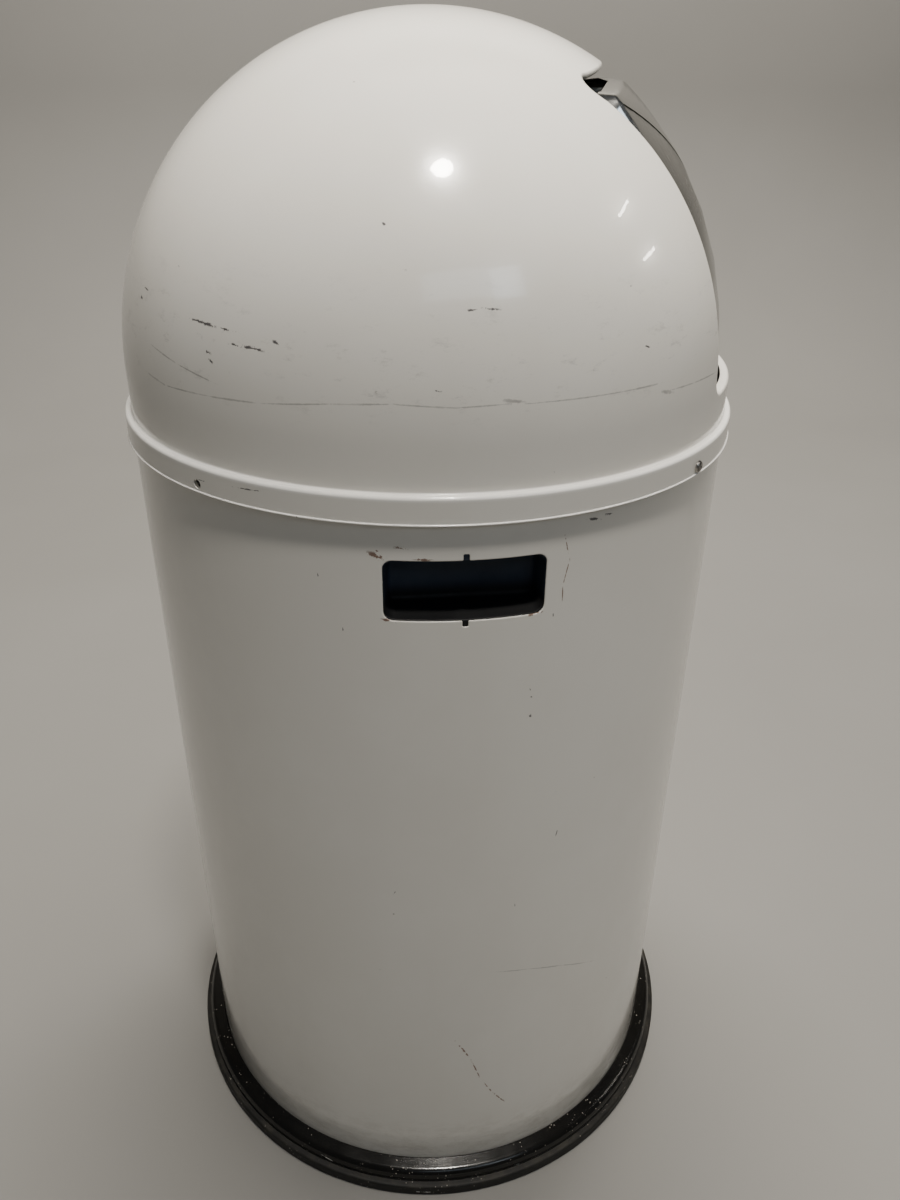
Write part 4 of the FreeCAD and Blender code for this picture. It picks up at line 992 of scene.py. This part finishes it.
NEW_PIECES = [
    (body_wall(), "body", "white_enamel", ENAMEL, ["body_shell"]),
    (lid(), "lid", "white_enamel", ENAMEL, ["lid_dome"]),
    (flap(), "flap", "polished_steel", polished_steel(), ["flap_panel"]),
    (base_ring(), "body", "black_plastic", ring_plastic(), ["base_ring"]),
    (grip_cup("right", 0), "body", "cup_plastic", CUP_PLASTIC, ["grip_cup_right"]),
    (grip_cup("left", 180), "body", "cup_plastic", CUP_PLASTIC, ["grip_cup_left"]),
    (rivets(), "lid", "rivet_steel", RIVET_METAL, ["lid_rivets"]),
    (bucket(), "liner", "galvanised_steel", GALVANISED, ["liner_bucket"]),
]
for piece, body, slot, material, stands_for in NEW_PIECES:
    piece.data.materials.append(material)
    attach(piece, body)
    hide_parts(*stands_for)


def wound_spring(side):
    """A torsion spring, copied from its CAD node in spring wire; the copy does not wind up."""
    node = "torsion_spring_" + side
    piece = bpy.data.objects.new("torsion_spring_wire_" + side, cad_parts[node].data.copy())
    bpy.context.scene.collection.objects.link(piece)
    piece.data.materials.clear()
    piece.data.materials.append(SPRING)
    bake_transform(piece)
    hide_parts(node)


wound_spring("left")
wound_spring("right")

CAD_FINISH = {
    "galvanised_steel": (GALVANISED, ["bottom_plate", "bottom_angle", "liner_bottom", "liner_ears"]),
    "rivet_steel": (RIVET_METAL, ["ear_rivets"]),
    "zinc_steel": (ZINC, ["liner_bail", "hinge_bracket_left", "hinge_bracket_right", "hinge_rod", "rod_clips",
                          "flap_tab_left", "flap_tab_right"]),
    "cup_plastic": (CUP_PLASTIC, ["bail_grip"]),
    "nylon": (NYLON, ["lid_glides", "hinge_bushes"]),
    "rubber": (RUBBER, ["stop_pads"]),
}
for slot, (material, nodes) in CAD_FINISH.items():
    for node in nodes:
        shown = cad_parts[node]
        shown.data.materials.clear()
        shown.data.materials.append(material)


# ---------------------------------------------------------------- stage, lights and camera

def stage():
    """A pale floor that sweeps up into a plain backdrop behind the bin."""
    reach, backdrop, high, sweep = 6.0, 2.1, 5.0, 0.7
    below = 0.0002                      # metres under the bin's foot, so that the two don't flicker
    corners = [(-reach, 0.0, 0), (backdrop, 0.0, sweep), (backdrop, high, 0)]
    profile, _ = rounded_path(corners, False, 0.5, 5.0)
    width = np.linspace(-reach, reach, 13)
    points = np.array([[(x, y, z - below) for y in width] for x, z in profile])
    number = np.arange(points.shape[0] * points.shape[1]).reshape(points.shape[:2])
    faces = np.stack([number[:-1, :-1], number[1:, :-1], number[1:, 1:], number[:-1, 1:]], -1).reshape(-1, 4)
    mesh = bpy.data.meshes.new("floor_sweep")
    mesh.from_pydata(points.reshape(-1, 3).tolist(), [], faces.tolist())
    mesh.polygons.foreach_set("use_smooth", [True] * len(mesh.polygons))
    floor = bpy.data.objects.new("floor_sweep", mesh)
    bpy.context.scene.collection.objects.link(floor)
    paint = Paint("studio_floor")
    shades = rgb(0.172, 0.168, 0.158), rgb(0.208, 0.204, 0.194)
    paint.set(Base_Color=paint.blend(paint.noise(1.6, 5.0), *shades), Roughness=0.75)
    mesh.materials.append(paint.material)


def lamp(name, place, aim, power, width, height=None, tint=(1.0, 1.0, 1.0), shape="RECTANGLE", shine=True):
    """An area light that faces a point; shine says whether glossy surfaces mirror it."""
    data = bpy.data.lights.new(name, "AREA")
    data.shape = shape
    data.size = width
    if height:
        data.size_y = height
    data.energy = power
    data.color = tint
    made = bpy.data.objects.new(name, data)
    made.location = place
    made.visible_glossy = shine
    made.rotation_mode = "QUATERNION"
    made.rotation_quaternion = (Vector(aim) - Vector(place)).to_track_quat("-Z", "Y")
    bpy.context.scene.collection.objects.link(made)


CAMERA_PLACE = (-0.5936, 0.0582, 0.7212)                        # metres
CAMERA_PITCH, CAMERA_TURN, CAMERA_ROLL = 28.98, -6.98, 0.57     # degrees: down, from +X, about the view
CAMERA_LENS, SENSOR_WIDTH = 28.32, 36.0                         # millimetres
DOME_MIDDLE = Vector((0.0, 0.0, DOME_CENTRE / 1000))


def lights():
    """Lamps that stand in for the room, and a faint cool air."""
    warm, cool = (1.0, 0.945, 0.86), (0.78, 0.89, 1.0)
    lamp("ceiling_lamp", (-0.57, -0.04, 2.07), DOME_MIDDLE, power=21.0, width=0.17, tint=warm, shape="DISK")
    lamp("soft_sky", (0.12, -0.55, 3.0), (0.12, -0.5, 0.0), power=64.0, width=1.7, height=1.6, tint=warm,
         shine=False)
    lamp("window_wide", (-1.9, -0.32, 1.84), DOME_MIDDLE, power=2.6, width=1.25, height=0.36, tint=cool)
    lamp("window_bright", (-1.78, -0.78, 1.80), DOME_MIDDLE, power=1.6, width=0.42, height=0.38, tint=cool)
    lamp("strip_high", (-0.115, -1.72, 1.80), DOME_MIDDLE, power=2.0, width=0.28, height=0.03, tint=warm)
    lamp("strip_low", (-0.165, -1.94, 1.40), DOME_MIDDLE, power=1.8, width=0.28, height=0.03, tint=warm)
    lamp("backdrop_wash", (0.9, -0.3, 3.2), (2.1, 0.0, 0.9), power=190.0, width=2.0, height=0.6, tint=warm,
         shine=False)
    world = bpy.data.worlds.new("studio_air")
    world.use_nodes = True
    air = world.node_tree.nodes["Background"].inputs
    air["Color"].default_value = rgb(0.76, 0.87, 1.0)
    air["Strength"].default_value = 0.045
    bpy.context.scene.world = world


def camera():
    """The camera at the photograph's place and angle."""
    data = bpy.data.cameras.new("camera")
    data.lens = CAMERA_LENS
    data.sensor_width = SENSOR_WIDTH
    data.clip_start = 0.02
    made = bpy.data.objects.new("camera", data)
    bpy.context.scene.collection.objects.link(made)
    heading = math.radians(-90.0 + CAMERA_TURN)
    turn = Matrix.Rotation(heading, 3, "Z") @ Matrix.Rotation(math.radians(90.0 - CAMERA_PITCH), 3, "X")
    made.rotation_mode = "QUATERNION"
    made.rotation_quaternion = (turn @ Matrix.Rotation(math.radians(CAMERA_ROLL), 3, "Z")).to_quaternion()
    made.location = CAMERA_PLACE
    bpy.context.scene.camera = made


stage()
lights()
camera()
